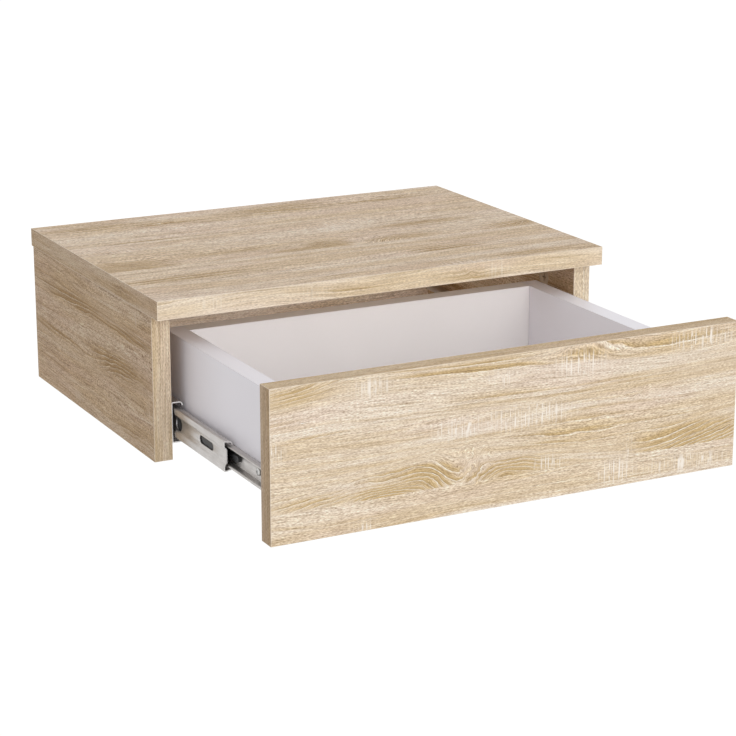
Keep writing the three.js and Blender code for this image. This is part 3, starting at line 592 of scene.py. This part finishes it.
dress_oak("drawer_front", FRONT_TABLE, 3.3, FRONT_PLANKS, curls=FRONT_CURLS, marks=FRONT_MARKS,
          tints=FRONT_PAINTED_SHADING)
dress_oak("top_panel", TOP_TABLE, 11.9, TOP_PLANKS, curls=TOP_CURLS, marks=TOP_MARKS,
          tints=TOP_PAINTED_SHADING, raw=RAW_REAR, tan=OAK_DEEP_TAN, coarse=TOP_COARSE, calm=TOP_CALM)
dress_oak("left_side_panel", SIDE_TABLE, 23.1, SIDE_PLANKS, marks=SIDE_MARKS,
          tints=LEFT_PAINTED_SHADING, raw=RAW_REAR, tan=OAK_DEEP_TAN, coarse=SIDE_COARSE)
dress_oak("right_side_panel", SIDE_TABLE, 37.7, SIDE_PLANKS, marks=SIDE_MARKS,
          tints=RIGHT_PAINTED_SHADING, raw=RAW_REAR, tan=OAK_DEEP_TAN, coarse=SIDE_COARSE)
dress_oak("back_panel", BACK_TABLE, 51.3, BACK_PLANKS, tints=BACK_PAINTED_SHADING, raw=RAW_LONG_EDGES)


# White laminate
SIDE_WHITE = (0.930, 0.905, 0.955)
# The drawer's sides and back are one white laminate in two tones; the back's warmer, pinker tone is
# painted light, standing for light bounced off the oak
BACK_WHITE_PAINTED_BOUNCE = (0.940, 0.910, 0.912)
WHITE_BOARDS = (
    ("drawer_left_side", SIDE_WHITE),
    ("drawer_right_side", SIDE_WHITE),
    ("drawer_back", BACK_WHITE_PAINTED_BOUNCE),
)
LAMINATE_SHINE = 0.4


def laminate(node, tone):
    """White laminate with a faint seam near the edges and chipboard in the holes."""
    s = BoardShader("white_" + node, node)
    point = s.millimetres()
    cloud = s.noise(point, 0.012, 2.0)
    fine = s.noise(point, 1.1, 3.0)
    color = s.blend(s.step(cloud, 0.3, 0.7), scaled(tone, 0.975), rgb(*tone))
    color = s.blend(s.step(fine, 0.3, 0.8, 0.0, 0.12), color, scaled(tone, 0.90))
    seam = s.mul(s.step(s.border, 0.45, 0.55), s.step(s.border, 0.60, 0.72, 1.0, 0.0))
    color = s.blend(s.mul(seam, 0.35), color, rgb(0.60, 0.56, 0.54))
    core, chips = s.core()
    color = s.blend(s.cut, color, core)
    relief = s.add(s.mul(fine, 0.4), s.mul(chips, s.cut))
    rough = s.mad(s.cut, 0.35, s.mad(fine, 0.10, 0.32))
    s.surface.inputs["Specular IOR Level"].default_value = LAMINATE_SHINE
    return s.finish(color, rough, relief, strength=0.15, distance=0.08, edge=0.4)


def hardboard(node):
    """White on top, raw brown below and on the edges."""
    s = BoardShader("hardboard_" + node, node)
    point = s.millimetres()
    fibres = s.noise(s.vector("MULTIPLY", point, (0.5, 0.5, 3.0)), 1.6, 4.0, 0.65)
    cloud = s.noise(point, 0.02, 2.0)
    white = s.blend(s.step(cloud, 0.3, 0.7), rgb(0.87, 0.85, 0.855), rgb(0.90, 0.885, 0.89))
    brown = s.blend(s.step(fibres, 0.3, 0.7), rgb(0.25, 0.155, 0.085), rgb(0.40, 0.27, 0.16))
    top = s.mul(s.face[Z], s.step(s.sign[Z], 0.0, 0.5))
    color = s.blend(top, brown, white)
    relief = s.mul(fibres, s.mad(top, -0.8, 1.0))
    rough = s.mad(top, -0.25, 0.75)
    return s.finish(color, rough, relief, strength=0.25, distance=0.1, edge=0.2)


for node, tone in WHITE_BOARDS:
    dress(node, laminate(node, tone))
dress("drawer_bottom", hardboard("drawer_bottom"))


# Metals, plastic, rubber and beech; streaks are long on an axis with a low factor
ROLLED = (1.0, 0.03, 1.0)
FOLDED = (1.0, 0.05, 1.0)
EVEN = (1.0, 1.0, 1.0)
CUT_STEEL = rgb(0.93, 0.92, 0.91)


def span_of(node):
    """Where a node starts and ends along Y, in millimetres."""
    low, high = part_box(node)
    return low.y / MM, high.y / MM


def metal(name, dark, pale, rough, streak, scale, bump=0.1, ends=()):
    """Plated or bare metal: a cloudy tone and fine streaks.

    ends are the places along Y where a strip is cut across: its end faces are paler and duller.
    """
    s = Shader(name)
    point = s.millimetres()
    cloud = s.noise(point, 0.07, 3.0, 0.6)
    lines = s.noise(s.vector("MULTIPLY", point, streak), scale, 3.0, 0.6)
    color = s.blend(s.step(cloud, 0.3, 0.7), rgb(*dark), rgb(*pale))
    color = s.blend(s.step(lines, 0.45, 0.75, 0.0, 0.35), color, scaled(dark, 0.55))
    s.surface.inputs["Metallic"].default_value = 1.0
    roughness = s.mad(lines, 0.22, s.mad(cloud, 0.12, rough - 0.17))
    if ends:
        y = s.axes(point)[Y]
        away = s.lowest(*(s.math("ABSOLUTE", s.sub(y, end)) for end in ends))
        facing = s.step(s.math("ABSOLUTE", s.axes(s.place["Normal"])[Y]), 0.45, 0.65)
        sawn = s.mul(facing, s.step(away, 0.20, 0.30, 1.0, 0.0))
        color = s.blend(sawn, color, CUT_STEEL)
        roughness = s.add(roughness, s.mul(sawn, 0.35))
        s.feed(s.surface.inputs["Metallic"], s.mad(sawn, -0.85, 1.0))
    return s.finish(color, roughness, lines, strength=bump, distance=0.05, edge=0.12)


def moulded(name, dark, pale, rough, grain, bump):
    s = Shader(name)
    point = s.millimetres()
    cloud = s.noise(point, 0.15, 2.0)
    fine = s.noise(point, grain, 3.0, 0.6)
    color = s.blend(s.step(cloud, 0.3, 0.7), rgb(*dark), rgb(*pale))
    roughness = s.mad(fine, 0.2, rough - 0.1)
    return s.finish(color, roughness, fine, strength=bump, distance=0.05, edge=0.2)


def beech(name):
    """Turned beech with small flecks along the dowel."""
    s = Shader(name)
    point = s.millimetres()
    flecks = s.noise(point, 0.9, 4.0, 0.7)
    cloud = s.noise(point, 0.12, 2.0)
    color = s.blend(s.step(cloud, 0.3, 0.7), rgb(0.60, 0.40, 0.22), rgb(0.68, 0.48, 0.29))
    color = s.blend(s.step(flecks, 0.55, 0.75, 0.0, 0.6), color, rgb(0.40, 0.23, 0.11))
    roughness = s.mad(flecks, 0.2, 0.55)
    return s.finish(color, roughness, flecks, strength=0.3, distance=0.08, edge=0.2)


STRIP_ENDS = [
    end for kind in ("outer", "intermediate", "inner") for end in span_of(f"slide_{kind}_left")
]
zinc_steel = metal("zinc_steel", (0.55, 0.525, 0.505), (0.62, 0.595, 0.575), 0.41, ROLLED, 2.2,
                   ends=STRIP_ENDS)
cage_steel = metal("cage_steel", (0.36, 0.34, 0.32), (0.50, 0.48, 0.46), 0.38, FOLDED, 2.0)
ball_steel = metal("ball_steel", (0.62, 0.62, 0.63), (0.72, 0.72, 0.73), 0.16, EVEN, 0.8, 0.03)
screw_steel = metal("screw_steel", (0.50, 0.50, 0.49), (0.66, 0.65, 0.63), 0.30, EVEN, 1.5)
cast_zinc = metal("cast_zinc", (0.30, 0.30, 0.31), (0.42, 0.42, 0.43), 0.46, EVEN, 1.1, 0.35)
black_plastic = moulded("black_plastic", (0.012, 0.012, 0.013), (0.022, 0.022, 0.024), 0.42, 2.2,
                        0.25)
rubber = moulded("rubber", (0.020, 0.020, 0.020), (0.036, 0.035, 0.034), 0.80, 1.2, 0.5)
tan_lacquer = moulded("tan_lacquer", (0.42, 0.30, 0.19), (0.50, 0.37, 0.25), 0.50, 1.6, 0.3)
beech_wood = beech("beech")

BY_START = (
    ("slide_", zinc_steel),
    ("outer_ball_cage", cage_steel),
    ("inner_ball_cage", cage_steel),
    ("cam_lock_front", cast_zinc),
    ("cam_lock_top", tan_lacquer),
    ("cam_lock_back", tan_lacquer),
    ("cam_bolt", screw_steel),
    ("dowel", beech_wood),
    ("rear_bumper", rubber),
    ("release_lever", black_plastic),
    ("outer_slide_screw", screw_steel),
    ("inner_slide_screw", screw_steel),
    ("drawer_back_screw", screw_steel),
)
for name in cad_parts:
    for start, material in BY_START:
        if name.startswith(start):
            dress(name, material)


# Refined pieces, built in millimetres: u from the side panel towards the drawer, y along the
# slide, v up from the slide's middle
PANEL_FACE = 192.5
SLIDE_HEIGHT = -38.7
MERGE_DISTANCE = 1e-5
CURVE_STEPS = 8
# Corners are rounded in this many steps, except where the path is nearly straight or too short
FILLET_STEPS = 3
NEARLY_STRAIGHT = math.radians(160)
SHORT_LEG = 0.8
FILLET_SHARE = 0.45
# Edges between faces at more than these degrees: those that are broken, those that look sharp
BEVEL_ABOVE = 50.0
SMOOTH_BELOW = 35.0


def along_y(a, b, depth):
    return (a, depth, b)


def along_u(a, b, depth):
    return (depth, a, b)


def along_v(a, b, depth):
    return (a, b, depth)


def mesh_of(points, faces):
    mesh = bpy.data.meshes.new("part")
    mesh.from_pydata([Vector(p) for p in points], [], faces)
    work = bmesh.new()
    work.from_mesh(mesh)
    bmesh.ops.remove_doubles(work, verts=work.verts, dist=MERGE_DISTANCE)
    bmesh.ops.recalc_face_normals(work, faces=work.faces)
    work.to_mesh(mesh)
    work.free()
    return mesh


def prism(outline, start, end, place):
    """A closed outline swept from start to end; place turns (a, b, depth) into a point."""
    count = len(outline)
    points = [place(a, b, start) for a, b in outline] + [place(a, b, end) for a, b in outline]
    faces = [tuple(range(count)), tuple(range(2 * count - 1, count - 1, -1))]
    faces += [(i, (i + 1) % count, (i + 1) % count + count, i + count) for i in range(count)]
    return mesh_of(points, faces)


def arc(a, b, radius, start, end, steps):
    turns = [math.radians(start + (end - start) * i / steps) for i in range(steps + 1)]
    return [(a + radius * math.cos(t), b + radius * math.sin(t)) for t in turns]


def stadium(length, height, y, steps=CURVE_STEPS):
    """Outline of a slot with round ends."""
    reach = (length - height) / 2
    front = arc(y - reach, 0, height / 2, 90, 270, steps)
    return arc(y + reach, 0, height / 2, -90, 90, steps) + front


def round_hole(width, y, steps=CURVE_STEPS):
    """A slot stretched so little that it is round, and yet has no doubled points."""
    return stadium(width + 0.01, width, y, steps)


def filleted(path, radius):
    """The open path with its inner corners rounded."""
    found = [path[0]]
    for before, corner, after in zip(path, path[1:], path[2:]):
        a, c, b = Vector(before), Vector(corner), Vector(after)
        back, ahead = a - c, b - c
        turn = back.angle(ahead)
        shorter = min(back.length, ahead.length)
        if turn > NEARLY_STRAIGHT or shorter < SHORT_LEG:
            found.append(corner)
            continue
        cut = min(radius / math.tan(turn / 2), FILLET_SHARE * shorter)
        start, end = c + back.normalized() * cut, c + ahead.normalized() * cut
        for i in range(FILLET_STEPS + 1):
            t = i / FILLET_STEPS
            found.append(tuple(start * (1 - t) ** 2 + c * 2 * t * (1 - t) + end * t * t))
    return found + [path[-1]]


def strip(upper, thickness):
    """Outline of a bent sheet whose middle line is the upper path and its mirror image below."""
    path = [Vector(p) for p in upper + [(u, -v) for u, v in reversed(upper)]]
    sides = ([], [])
    for i, here in enumerate(path):
        before = (here - path[i - 1]).normalized() if i else None
        after = (path[i + 1] - here).normalized() if i + 1 < len(path) else None
        first = before or after
        mean = (first + (after or before)).normalized()
        reach = thickness / 2 / max(mean.dot(first), 0.5)
        across = Vector((-mean.y, mean.x)) * reach
        sides[0].append(tuple(here + across))
        sides[1].append(tuple(here - across))
    return sides[0] + sides[1][::-1]


def carved(mesh, cutters, bevel=0.0, segments=2):
    """The mesh less its cutters, with its sharp edges broken, as one new mesh."""
    body = bpy.data.objects.new("carving", mesh)
    bpy.context.scene.collection.objects.link(body)
    tools = []
    for cutter in cutters:
        tool = bpy.data.objects.new("cutter", cutter)
        bpy.context.scene.collection.objects.link(tool)
        step = body.modifiers.new("cut", "BOOLEAN")
        step.operation = "DIFFERENCE"
        step.solver = "EXACT"
        step.object = tool
        tools.append(tool)
    if bevel:
        step = body.modifiers.new("edge", "BEVEL")
        step.width = bevel
        step.segments = segments
        step.limit_method = "ANGLE"
        step.angle_limit = math.radians(BEVEL_ABOVE)
        step.use_clamp_overlap = True
    graph = bpy.context.evaluated_depsgraph_get()
    made = bpy.data.meshes.new_from_object(body.evaluated_get(graph))
    for item in [body, *tools]:
        bpy.data.objects.remove(item)
    return made


def slide_place(hand):
    """From the slide's millimetres to metres; the right slide is the left one turned round."""
    scale = Matrix.Diagonal((MM, MM, MM, 1.0))
    turn = Matrix.Rotation(math.pi if hand > 0 else 0.0, 4, "Y")
    return Matrix.Translation((hand * PANEL_FACE * MM, 0, SLIDE_HEIGHT * MM)) @ turn @ scale


def settle(name, mesh, material, matrix, body, slot, *nodes, smooth=SMOOTH_BELOW):
    """Puts a copy of a mesh in its place, on its body, in the stead of its nodes.

    It is shaded smooth, except at edges where its faces meet at more than smooth degrees.
    """
    mesh = mesh.copy()
    mesh.transform(matrix)
    coat(mesh, material)
    for face in mesh.polygons:
        face.use_smooth = True
    mesh.set_sharp_from_angle(angle=math.radians(smooth))
    made = bpy.data.objects.new(name, mesh)
    bpy.context.scene.collection.objects.link(made)
    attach(made, body)
    if nodes:
        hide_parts(*nodes)


# The slides' sections: a row of balls is (u, v), a race is the middle line of the steel round it
OUTER_ROW = (7.0, 14.25)
INNER_ROW = (7.2, 9.45)
OUTER_RACE = 2.75
INNER_RACE = 2.05
OUTER_BALL = 2.1
INNER_BALL = 1.4
SHEET_THICKNESS = 1.0
SHEET_BEVEL = 0.14
OUTER_PATH = arc(*OUTER_ROW, OUTER_RACE, -10, 90, 14) + arc(1.5, 16.1, 0.9, 90, 180, 5)
MIDDLE_FOLD = [(5.284, 12.1), (2.6, 12.1), (2.6, 7.8), (4.7, 5.2), (4.7, 0.5)]
MIDDLE_PATH = (
    arc(*INNER_ROW, INNER_RACE, -10, 90, 12)
    + arc(*OUTER_ROW, OUTER_RACE, 270, 231.4, 6)
    + filleted(MIDDLE_FOLD, 0.9)[1:-1]
)
INNER_PATH = arc(*INNER_ROW, INNER_RACE, -155, -90, 9) + arc(11.2, 6.5, 0.9, 90, 0, 5)

# The openings in the webs, placed from the front and rear ends of their member
SCREW_HOLE = 3.6
SCREW_SLOT = (12.0, 4.6)
SCREW_SLOT_AWAY = 16.0
OUTER_SCREWS = (35.0, 55.0)
INNER_SCREWS = (61.0, 59.0)
MIDDLE_SLOT = (27.5, 6.8)
MIDDLE_SLOTS = (38.65, 43.75)
MIDDLE_HOLE = 12.0
MIDDLE_HOLE_FROM_FRONT = 94.5
# From and to where a cutter reaches through each web, along u
OUTER_WEB = (-1.0, 2.5)
MIDDLE_WEB = (2.9, 6.5)
INNER_WEB = (11.0, 13.2)


def screw_openings(screws, away):
    """A round hole for each screw and a slot at a distance from it."""
    holes = [round_hole(SCREW_HOLE, y) for y in screws]
    return holes + [stadium(*SCREW_SLOT, y + away) for y in screws]


def add_member(side, hand, kind, body, path, openings, web):
    """A bent steel sheet as long as its node, with openings through its web."""
    node = f"slide_{kind}_{side}"
    sheet = prism(strip(path, SHEET_THICKNESS), *span_of(node), along_y)
    cutters = [prism(outline, *web, along_u) for outline in openings]
    mesh = carved(sheet, cutters, SHEET_BEVEL)
    name = f"{kind}_member_{side}"
    settle(name, mesh, zinc_steel, slide_place(hand), body, "zinc_steel", node)


def from_ends(node, gaps):
    """Two places along Y, at these distances from a node's front and rear ends."""
    start, end = span_of(node)
    return (start + gaps[0], end - gaps[1])


def add_members(side, hand):
    screws = from_ends(f"slide_outer_{side}", OUTER_SCREWS)
    openings = screw_openings(screws, SCREW_SLOT_AWAY)
    add_member(side, hand, "outer", "carcass", OUTER_PATH, openings, OUTER_WEB)

    node = f"slide_intermediate_{side}"
    hole = span_of(node)[0] + MIDDLE_HOLE_FROM_FRONT
    openings = [stadium(*MIDDLE_SLOT, y) for y in from_ends(node, MIDDLE_SLOTS)]
    openings.append(round_hole(MIDDLE_HOLE, hole, 14))
    body = f"intermediate_{side}"
    add_member(side, hand, "intermediate", body, MIDDLE_PATH, openings, MIDDLE_WEB)

    screws = from_ends(f"slide_inner_{side}", INNER_SCREWS)
    openings = screw_openings(screws, -SCREW_SLOT_AWAY)
    add_member(side, hand, "inner", "drawer", INNER_PATH, openings, INNER_WEB)


# Turned forms: balls, screws and bolts
BALL_RINGS = 10
BALL_SIDES = 16
SCREW_SIDES = 28
RINGS_PER_TURN = 8
# A thread fades in and out over these lengths, in pitches, and its ridge is this steep
THREAD_FADE_IN = 1.2
THREAD_FADE_OUT = 0.8
RIDGE_SLOPE = 2.2


def capped_faces(rings, sides):
    """Faces between rings of points and to one point at each end, in the order of the points."""
    around = [(j, (j + 1) % sides) for j in range(sides)]
    faces = [(0, 1 + k, 1 + j) for j, k in around]
    for i in range(rings - 1):
        a, b = 1 + i * sides, 1 + (i + 1) * sides
        faces += [(a + j, a + k, b + k, b + j) for j, k in around]
    top, last = 1 + (rings - 1) * sides, 1 + rings * sides
    return faces + [(top + j, top + k, last) for j, k in around]


def thread_radius(z, share, thread):
    """The radius of a helical ridge at a height and a share of a turn; it fades at both ends."""
    start, end, pitch, core, crest = thread
    wave = abs(((z / pitch - share) % 1.0) * 2 - 1)
    fade_in = (z - start) / (THREAD_FADE_IN * pitch)
    fade_out = (end - z) / (THREAD_FADE_OUT * pitch)
    fade = max(0.0, min(1.0, fade_in, fade_out))
    return core + (crest - core) * fade * max(0.0, 1 - RIDGE_SLOPE * wave)


def turned(profile, sides, thread=None):
    """Points and faces of a form turned about Z from (radius, z) points that end on the axis.

    thread is (start, end, pitch, core, crest): a helical ridge between start and end.
    """
    rings = profile[1:-1]
    if thread:
        start, end, pitch = thread[:3]
        steps = int(abs(end - start) / pitch * RINGS_PER_TURN)
        ridge = [(None, start + (end - start) * i / steps) for i in range(steps + 1)]
        split = next(i for i, (_, z) in enumerate(rings) if z > start + 1e-6)
        rings = rings[:split] + ridge + rings[split:]
    points = [(0.0, 0.0, profile[0][1])]
    for radius, z in rings:
        for j in range(sides):
            turn = 2 * math.pi * j / sides
            reach = thread_radius(z, j / sides, thread) if radius is None else radius
            points.append((reach * math.cos(turn), reach * math.sin(turn), z))
    points.append((0.0, 0.0, profile[-1][1]))
    return points, capped_faces(len(rings), sides)


def balls_of(u, places, radius):
    """One mesh of the balls at u and each (y, v)."""
    tilts = [math.pi * (i / BALL_RINGS - 0.5) for i in range(BALL_RINGS + 1)]
    profile = [(radius * math.cos(t), radius * math.sin(t)) for t in tilts]
    shell, sides = turned(profile, BALL_SIDES)
    points, faces = [], []
    for y, v in places:
        faces += [tuple(i + len(points) for i in face) for face in sides]
        points += [(u + a, y + b, v + c) for a, b, c in shell]
    return mesh_of(points, faces)


# The ball cages: a folded strip, six balls above and six below
CAGE_THICKNESS = 0.5
CAGE_BEVEL = 0.06
BALLS_IN_ROW = 6
BALL_PITCH = 16.0
WINDOW_SHARE = 0.93
WINDOW_SIDES = 24
OUTER_FOLD = [(8.575, 14.25), (1.6, 14.25), (1.6, 7.3), (3.65, 4.7), (3.65, 0.5)]
INNER_FOLD = [(8.25, 9.45), (3.65, 9.45), (3.65, 8.3), (5.75, 5.7), (5.75, 0.5)]
OUTER_CAGE_PATH = filleted(OUTER_FOLD, 0.7)[:-1]
INNER_CAGE_PATH = filleted(INNER_FOLD, 0.5)[:-1]
CAGES = (
    ("outer", OUTER_CAGE_PATH, OUTER_ROW, OUTER_BALL, cage_steel, "zinc_steel"),
    ("inner", INNER_CAGE_PATH, INNER_ROW, INNER_BALL, black_plastic, "black_plastic"),
)


def add_cage(side, hand, kind, path, row, radius, material, slot):
    """The folded strip with a window round each ball, and the balls as a piece of their own."""
    matrix = slide_place(hand)
    node = f"{kind}_ball_cage_{side}"
    body = f"{kind}_cage_{side}"
    start, end = span_of(node)
    first = (start + end) / 2 - (BALLS_IN_ROW - 1) / 2 * BALL_PITCH
    u, v = row
    places = [(first + BALL_PITCH * i, way * v) for i in range(BALLS_IN_ROW) for way in (1, -1)]
    last_turn = 360 - 360 / WINDOW_SIDES
    windows = []
    for y, level in places:
        ring = arc(u, y, radius * WINDOW_SHARE, 0, last_turn, WINDOW_SIDES - 1)
        windows.append(prism(ring, level - 1.0, level + 1.0, along_v))
    sheet = prism(strip(path, CAGE_THICKNESS), start, end, along_y)
    mesh = carved(sheet, windows, CAGE_BEVEL, 1)
    settle(f"{kind}_cage_strip_{side}", mesh, material, matrix, body, slot)
    mesh = balls_of(u, places, radius)
    settle(f"{kind}_cage_balls_{side}", mesh, ball_steel, matrix, body, "ball_steel", node,
           smooth=180.0)


# Screws and bolts, in (radius, z) from the tip to the head
def cross_recess(height, reach, depth, width):
    """Two tapered slots that cross, open at the given height."""
    floor = (height - depth, reach * 0.45, width * 0.6)
    mouth = (height + 0.5, reach * 1.1, width)
    faces = [(0, 3, 2, 1), (4, 5, 6, 7), (0, 1, 5, 4), (1, 2, 6, 5), (2, 3, 7, 6), (3, 0, 4, 7)]
    corners = []
    for z, long, wide in (floor, mouth):
        corners += [(-long, -wide, z), (long, -wide, z), (long, wide, z), (-long, wide, z)]
    return [mesh_of(corners, faces), mesh_of([(-b, a, z) for a, b, z in corners], faces)]


def pan_screw():
    """The underside of the head is at z = 0."""
    shank = [(0.0, -12.0), (0.5, -11.4), (1.2, -10.4), (1.25, -0.8), (1.6, 0.0)]
    rim = [(3.15, 0.0), (3.3, 0.15)]
    turns = (0.0, 0.3, 0.6, 0.9, 1.2, 1.4)
    dome = [(3.3 * math.cos(t), 0.55 + 1.05 * math.sin(t)) for t in turns]
    profile = shank + rim + dome + [(0.0, 1.6)]
    body = mesh_of(*turned(profile, SCREW_SIDES, (-10.3, -0.9, 1.5, 1.22, 1.74)))
    return carved(body, cross_recess(1.6, 1.9, 1.0, 0.42))


def flat_screw():
    """The top of the countersunk head is at z = 0."""
    shank = [(0.0, -38.0), (0.5, -37.2), (1.4, -35.0), (1.45, -2.9)]
    head = [(1.9, -2.5), (3.9, -0.25), (4.0, -0.1), (3.9, 0.0), (0.0, 0.0)]
    body = mesh_of(*turned(shank + head, SCREW_SIDES, (-35.0, -8.0, 1.8, 1.42, 2.02)))
    return carved(body, cross_recess(0.0, 2.0, 1.6, 0.45))


def cam_bolt():
    """The joint face is at z = 0, the head on +z."""
    shank = [(0.0, -10.8), (2.2, -10.8), (2.45, -10.2), (2.45, -1.0)]
    collar = [(3.0, 0.1), (3.5, 0.1), (3.5, 1.6)]
    neck = [(2.5, 1.6), (2.5, 17.5), (1.5, 17.7), (1.5, 22.4)]
    head = [(2.4, 22.5), (2.8, 22.9), (2.8, 24.9), (2.2, 25.5), (0.0, 25.5)]
    profile = shank + collar + neck + head
    body = mesh_of(*turned(profile, SCREW_SIDES, (-10.0, -0.6, 2.2, 2.4, 3.12)))
    slot = prism([(-3, -0.4), (3, -0.4), (3, 0.4), (-3, 0.4)], 24.9, 26.0, along_v)
    return carved(body, [slot])


def frame_at(place, up, side):
    """A matrix in metres with its Z along up and its X along side, at a place in millimetres."""
    z, x = Vector(up), Vector(side)
    turn = Matrix((x, z.cross(x), z)).transposed().to_4x4()
    return Matrix.Translation(Vector(place) * MM) @ turn @ Matrix.Diagonal((MM, MM, MM, 1.0))


def centre_of(node):
    low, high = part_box(node)
    return (low + high) / (2 * MM)


# For each member its body, where its screws' heads rest along u, and the way they point
PAN_SEATS = (("outer", "carcass", 1.2, 1), ("inner", "drawer", 11.5, -1))
PAN_TURN = (0, 0.8, 0.6)
DRAWER_SIDE_FACE = 179.6
FLAT_TURN = (0, 0.6, 0.8)
TOP_UNDERSIDE = 54.0
FRONT_REAR_FACE = -489.0


def add_screws():
    pan, flat = pan_screw(), flat_screw()
    for side, hand in HANDS:
        for place in ("front", "rear"):
            for kind, body, u, way in PAN_SEATS:
                node = f"{kind}_slide_screw_{side}_{place}"
                middle = centre_of(node)
                seat = (hand * (PANEL_FACE - u), middle.y, middle.z)
                matrix = frame_at(seat, (-hand * way, 0, 0), PAN_TURN)
                name = f"pan_screw_{kind}_{side}_{place}"
                settle(name, pan, screw_steel, matrix, body, "screw_steel", node)
        for level in ("upper", "lower"):
            node = f"drawer_back_screw_{side}_{level}"
            middle = centre_of(node)
            seat = (hand * DRAWER_SIDE_FACE, middle.y, middle.z)
            matrix = frame_at(seat, (hand, 0, 0), FLAT_TURN)
            name = f"flat_screw_{side}_{level}"
            settle(name, flat, screw_steel, matrix, "drawer", "screw_steel", node)


def add_cam_bolts():
    bolt = cam_bolt()
    for side, hand in HANDS:
        down, rearward, inward = (0, 0, -1), (0, 1, 0), (-hand, 0, 0)
        # For each joint where the head points, the slot's way, the joint's axis and place, the body
        joints = (
            (f"top_{side}_front", down, inward, Z, TOP_UNDERSIDE, "carcass"),
            (f"top_{side}_rear", down, inward, Z, TOP_UNDERSIDE, "carcass"),
            (f"back_{side}", inward, (0, -1, 0), X, hand * PANEL_FACE, "carcass"),
            (f"front_{side}", rearward, inward, Y, FRONT_REAR_FACE, "drawer"),
        )
        for joint, up, across, axis, face, body in joints:
            node = "cam_bolt_" + joint
            place = centre_of(node)
            place[axis] = face
            matrix = frame_at(place, up, across)
            name = "connecting_bolt_" + joint
            settle(name, bolt, screw_steel, matrix, body, "screw_steel", node)


for side, hand in HANDS:
    add_members(side, hand)
    for cage in CAGES:
        add_cage(side, hand, *cage)
add_screws()
add_cam_bolts()


# Floor, world and key light
FLOOR_HEIGHT = -0.45
FLOOR_HALF = 30.0
FLOOR_GLOW = 0.765
FLOOR_SHADE = rgb(0.36, 0.36, 0.36)
FLOOR_BOUNCE = rgb(0.72, 0.71, 0.70)
WORLD_LIGHT = 0.72
KEY_STRENGTH = 1.15
KEY_ELEVATION = 16.0
KEY_AZIMUTH = 0.0
KEY_WIDTH = 34.0


def shown_rays(tree):
    """1 for the rays that should see a white studio: camera, glossy and transmission."""
    path = tree.nodes.new("ShaderNodeLightPath").outputs
    found = path["Is Camera Ray"]
    for kind in ("Is Glossy Ray", "Is Transmission Ray"):
        larger = tree.nodes.new("ShaderNodeMath")
        larger.operation = "MAXIMUM"
        tree.links.new(found, larger.inputs[0])
        tree.links.new(path[kind], larger.inputs[1])
        found = larger.outputs[0]
    return found


def add_floor():
    """A floor that the camera sees white with a weak shadow, and that bounces a little light."""
    mesh = bpy.data.meshes.new("floor")
    signs = ((-1, -1), (1, -1), (1, 1), (-1, 1))
    corners = [(FLOOR_HALF * a, FLOOR_HALF * b, FLOOR_HEIGHT) for a, b in signs]
    mesh.from_pydata(corners, [], [(0, 1, 2, 3)])
    floor = bpy.data.objects.new("floor", mesh)
    bpy.context.scene.collection.objects.link(floor)
    material = bpy.data.materials.new("floor")
    material.use_nodes = True
    tree = material.node_tree
    tree.nodes.clear()
    new, link = tree.nodes.new, tree.links.new
    out = new("ShaderNodeOutputMaterial")
    mix = new("ShaderNodeMixShader")
    both = new("ShaderNodeAddShader")
    glow = new("ShaderNodeEmission")
    shade = new("ShaderNodeBsdfDiffuse")
    bounce = new("ShaderNodeBsdfDiffuse")
    glow.inputs["Strength"].default_value = FLOOR_GLOW
    shade.inputs["Color"].default_value = FLOOR_SHADE
    bounce.inputs["Color"].default_value = FLOOR_BOUNCE
    link(glow.outputs[0], both.inputs[0])
    link(shade.outputs[0], both.inputs[1])
    link(shown_rays(tree), mix.inputs[0])
    link(bounce.outputs[0], mix.inputs[1])
    link(both.outputs[0], mix.inputs[2])
    link(mix.outputs[0], out.inputs["Surface"])
    mesh.materials.append(material)


def add_world():
    """White where it is seen, and weaker as a light."""
    world = bpy.data.worlds.new("studio")
    bpy.context.scene.world = world
    world.use_nodes = True
    tree = world.node_tree
    back = tree.nodes["Background"]
    back.inputs["Color"].default_value = rgb(1, 1, 1)
    spread = tree.nodes.new("ShaderNodeMapRange")
    spread.inputs["To Min"].default_value = WORLD_LIGHT
    spread.inputs["To Max"].default_value = 1.0
    tree.links.new(shown_rays(tree), spread.inputs["Value"])
    tree.links.new(spread.outputs[0], back.inputs["Strength"])


def add_key():
    """A wide soft sun; azimuth 0 shines along +Y."""
    data = bpy.data.lights.new("key", "SUN")
    data.energy = KEY_STRENGTH
    data.angle = math.radians(KEY_WIDTH)
    key = bpy.data.objects.new("key", data)
    bpy.context.scene.collection.objects.link(key)
    key.rotation_euler = (math.radians(90 - KEY_ELEVATION), 0, math.radians(KEY_AZIMUTH))


add_floor()
add_world()
add_key()
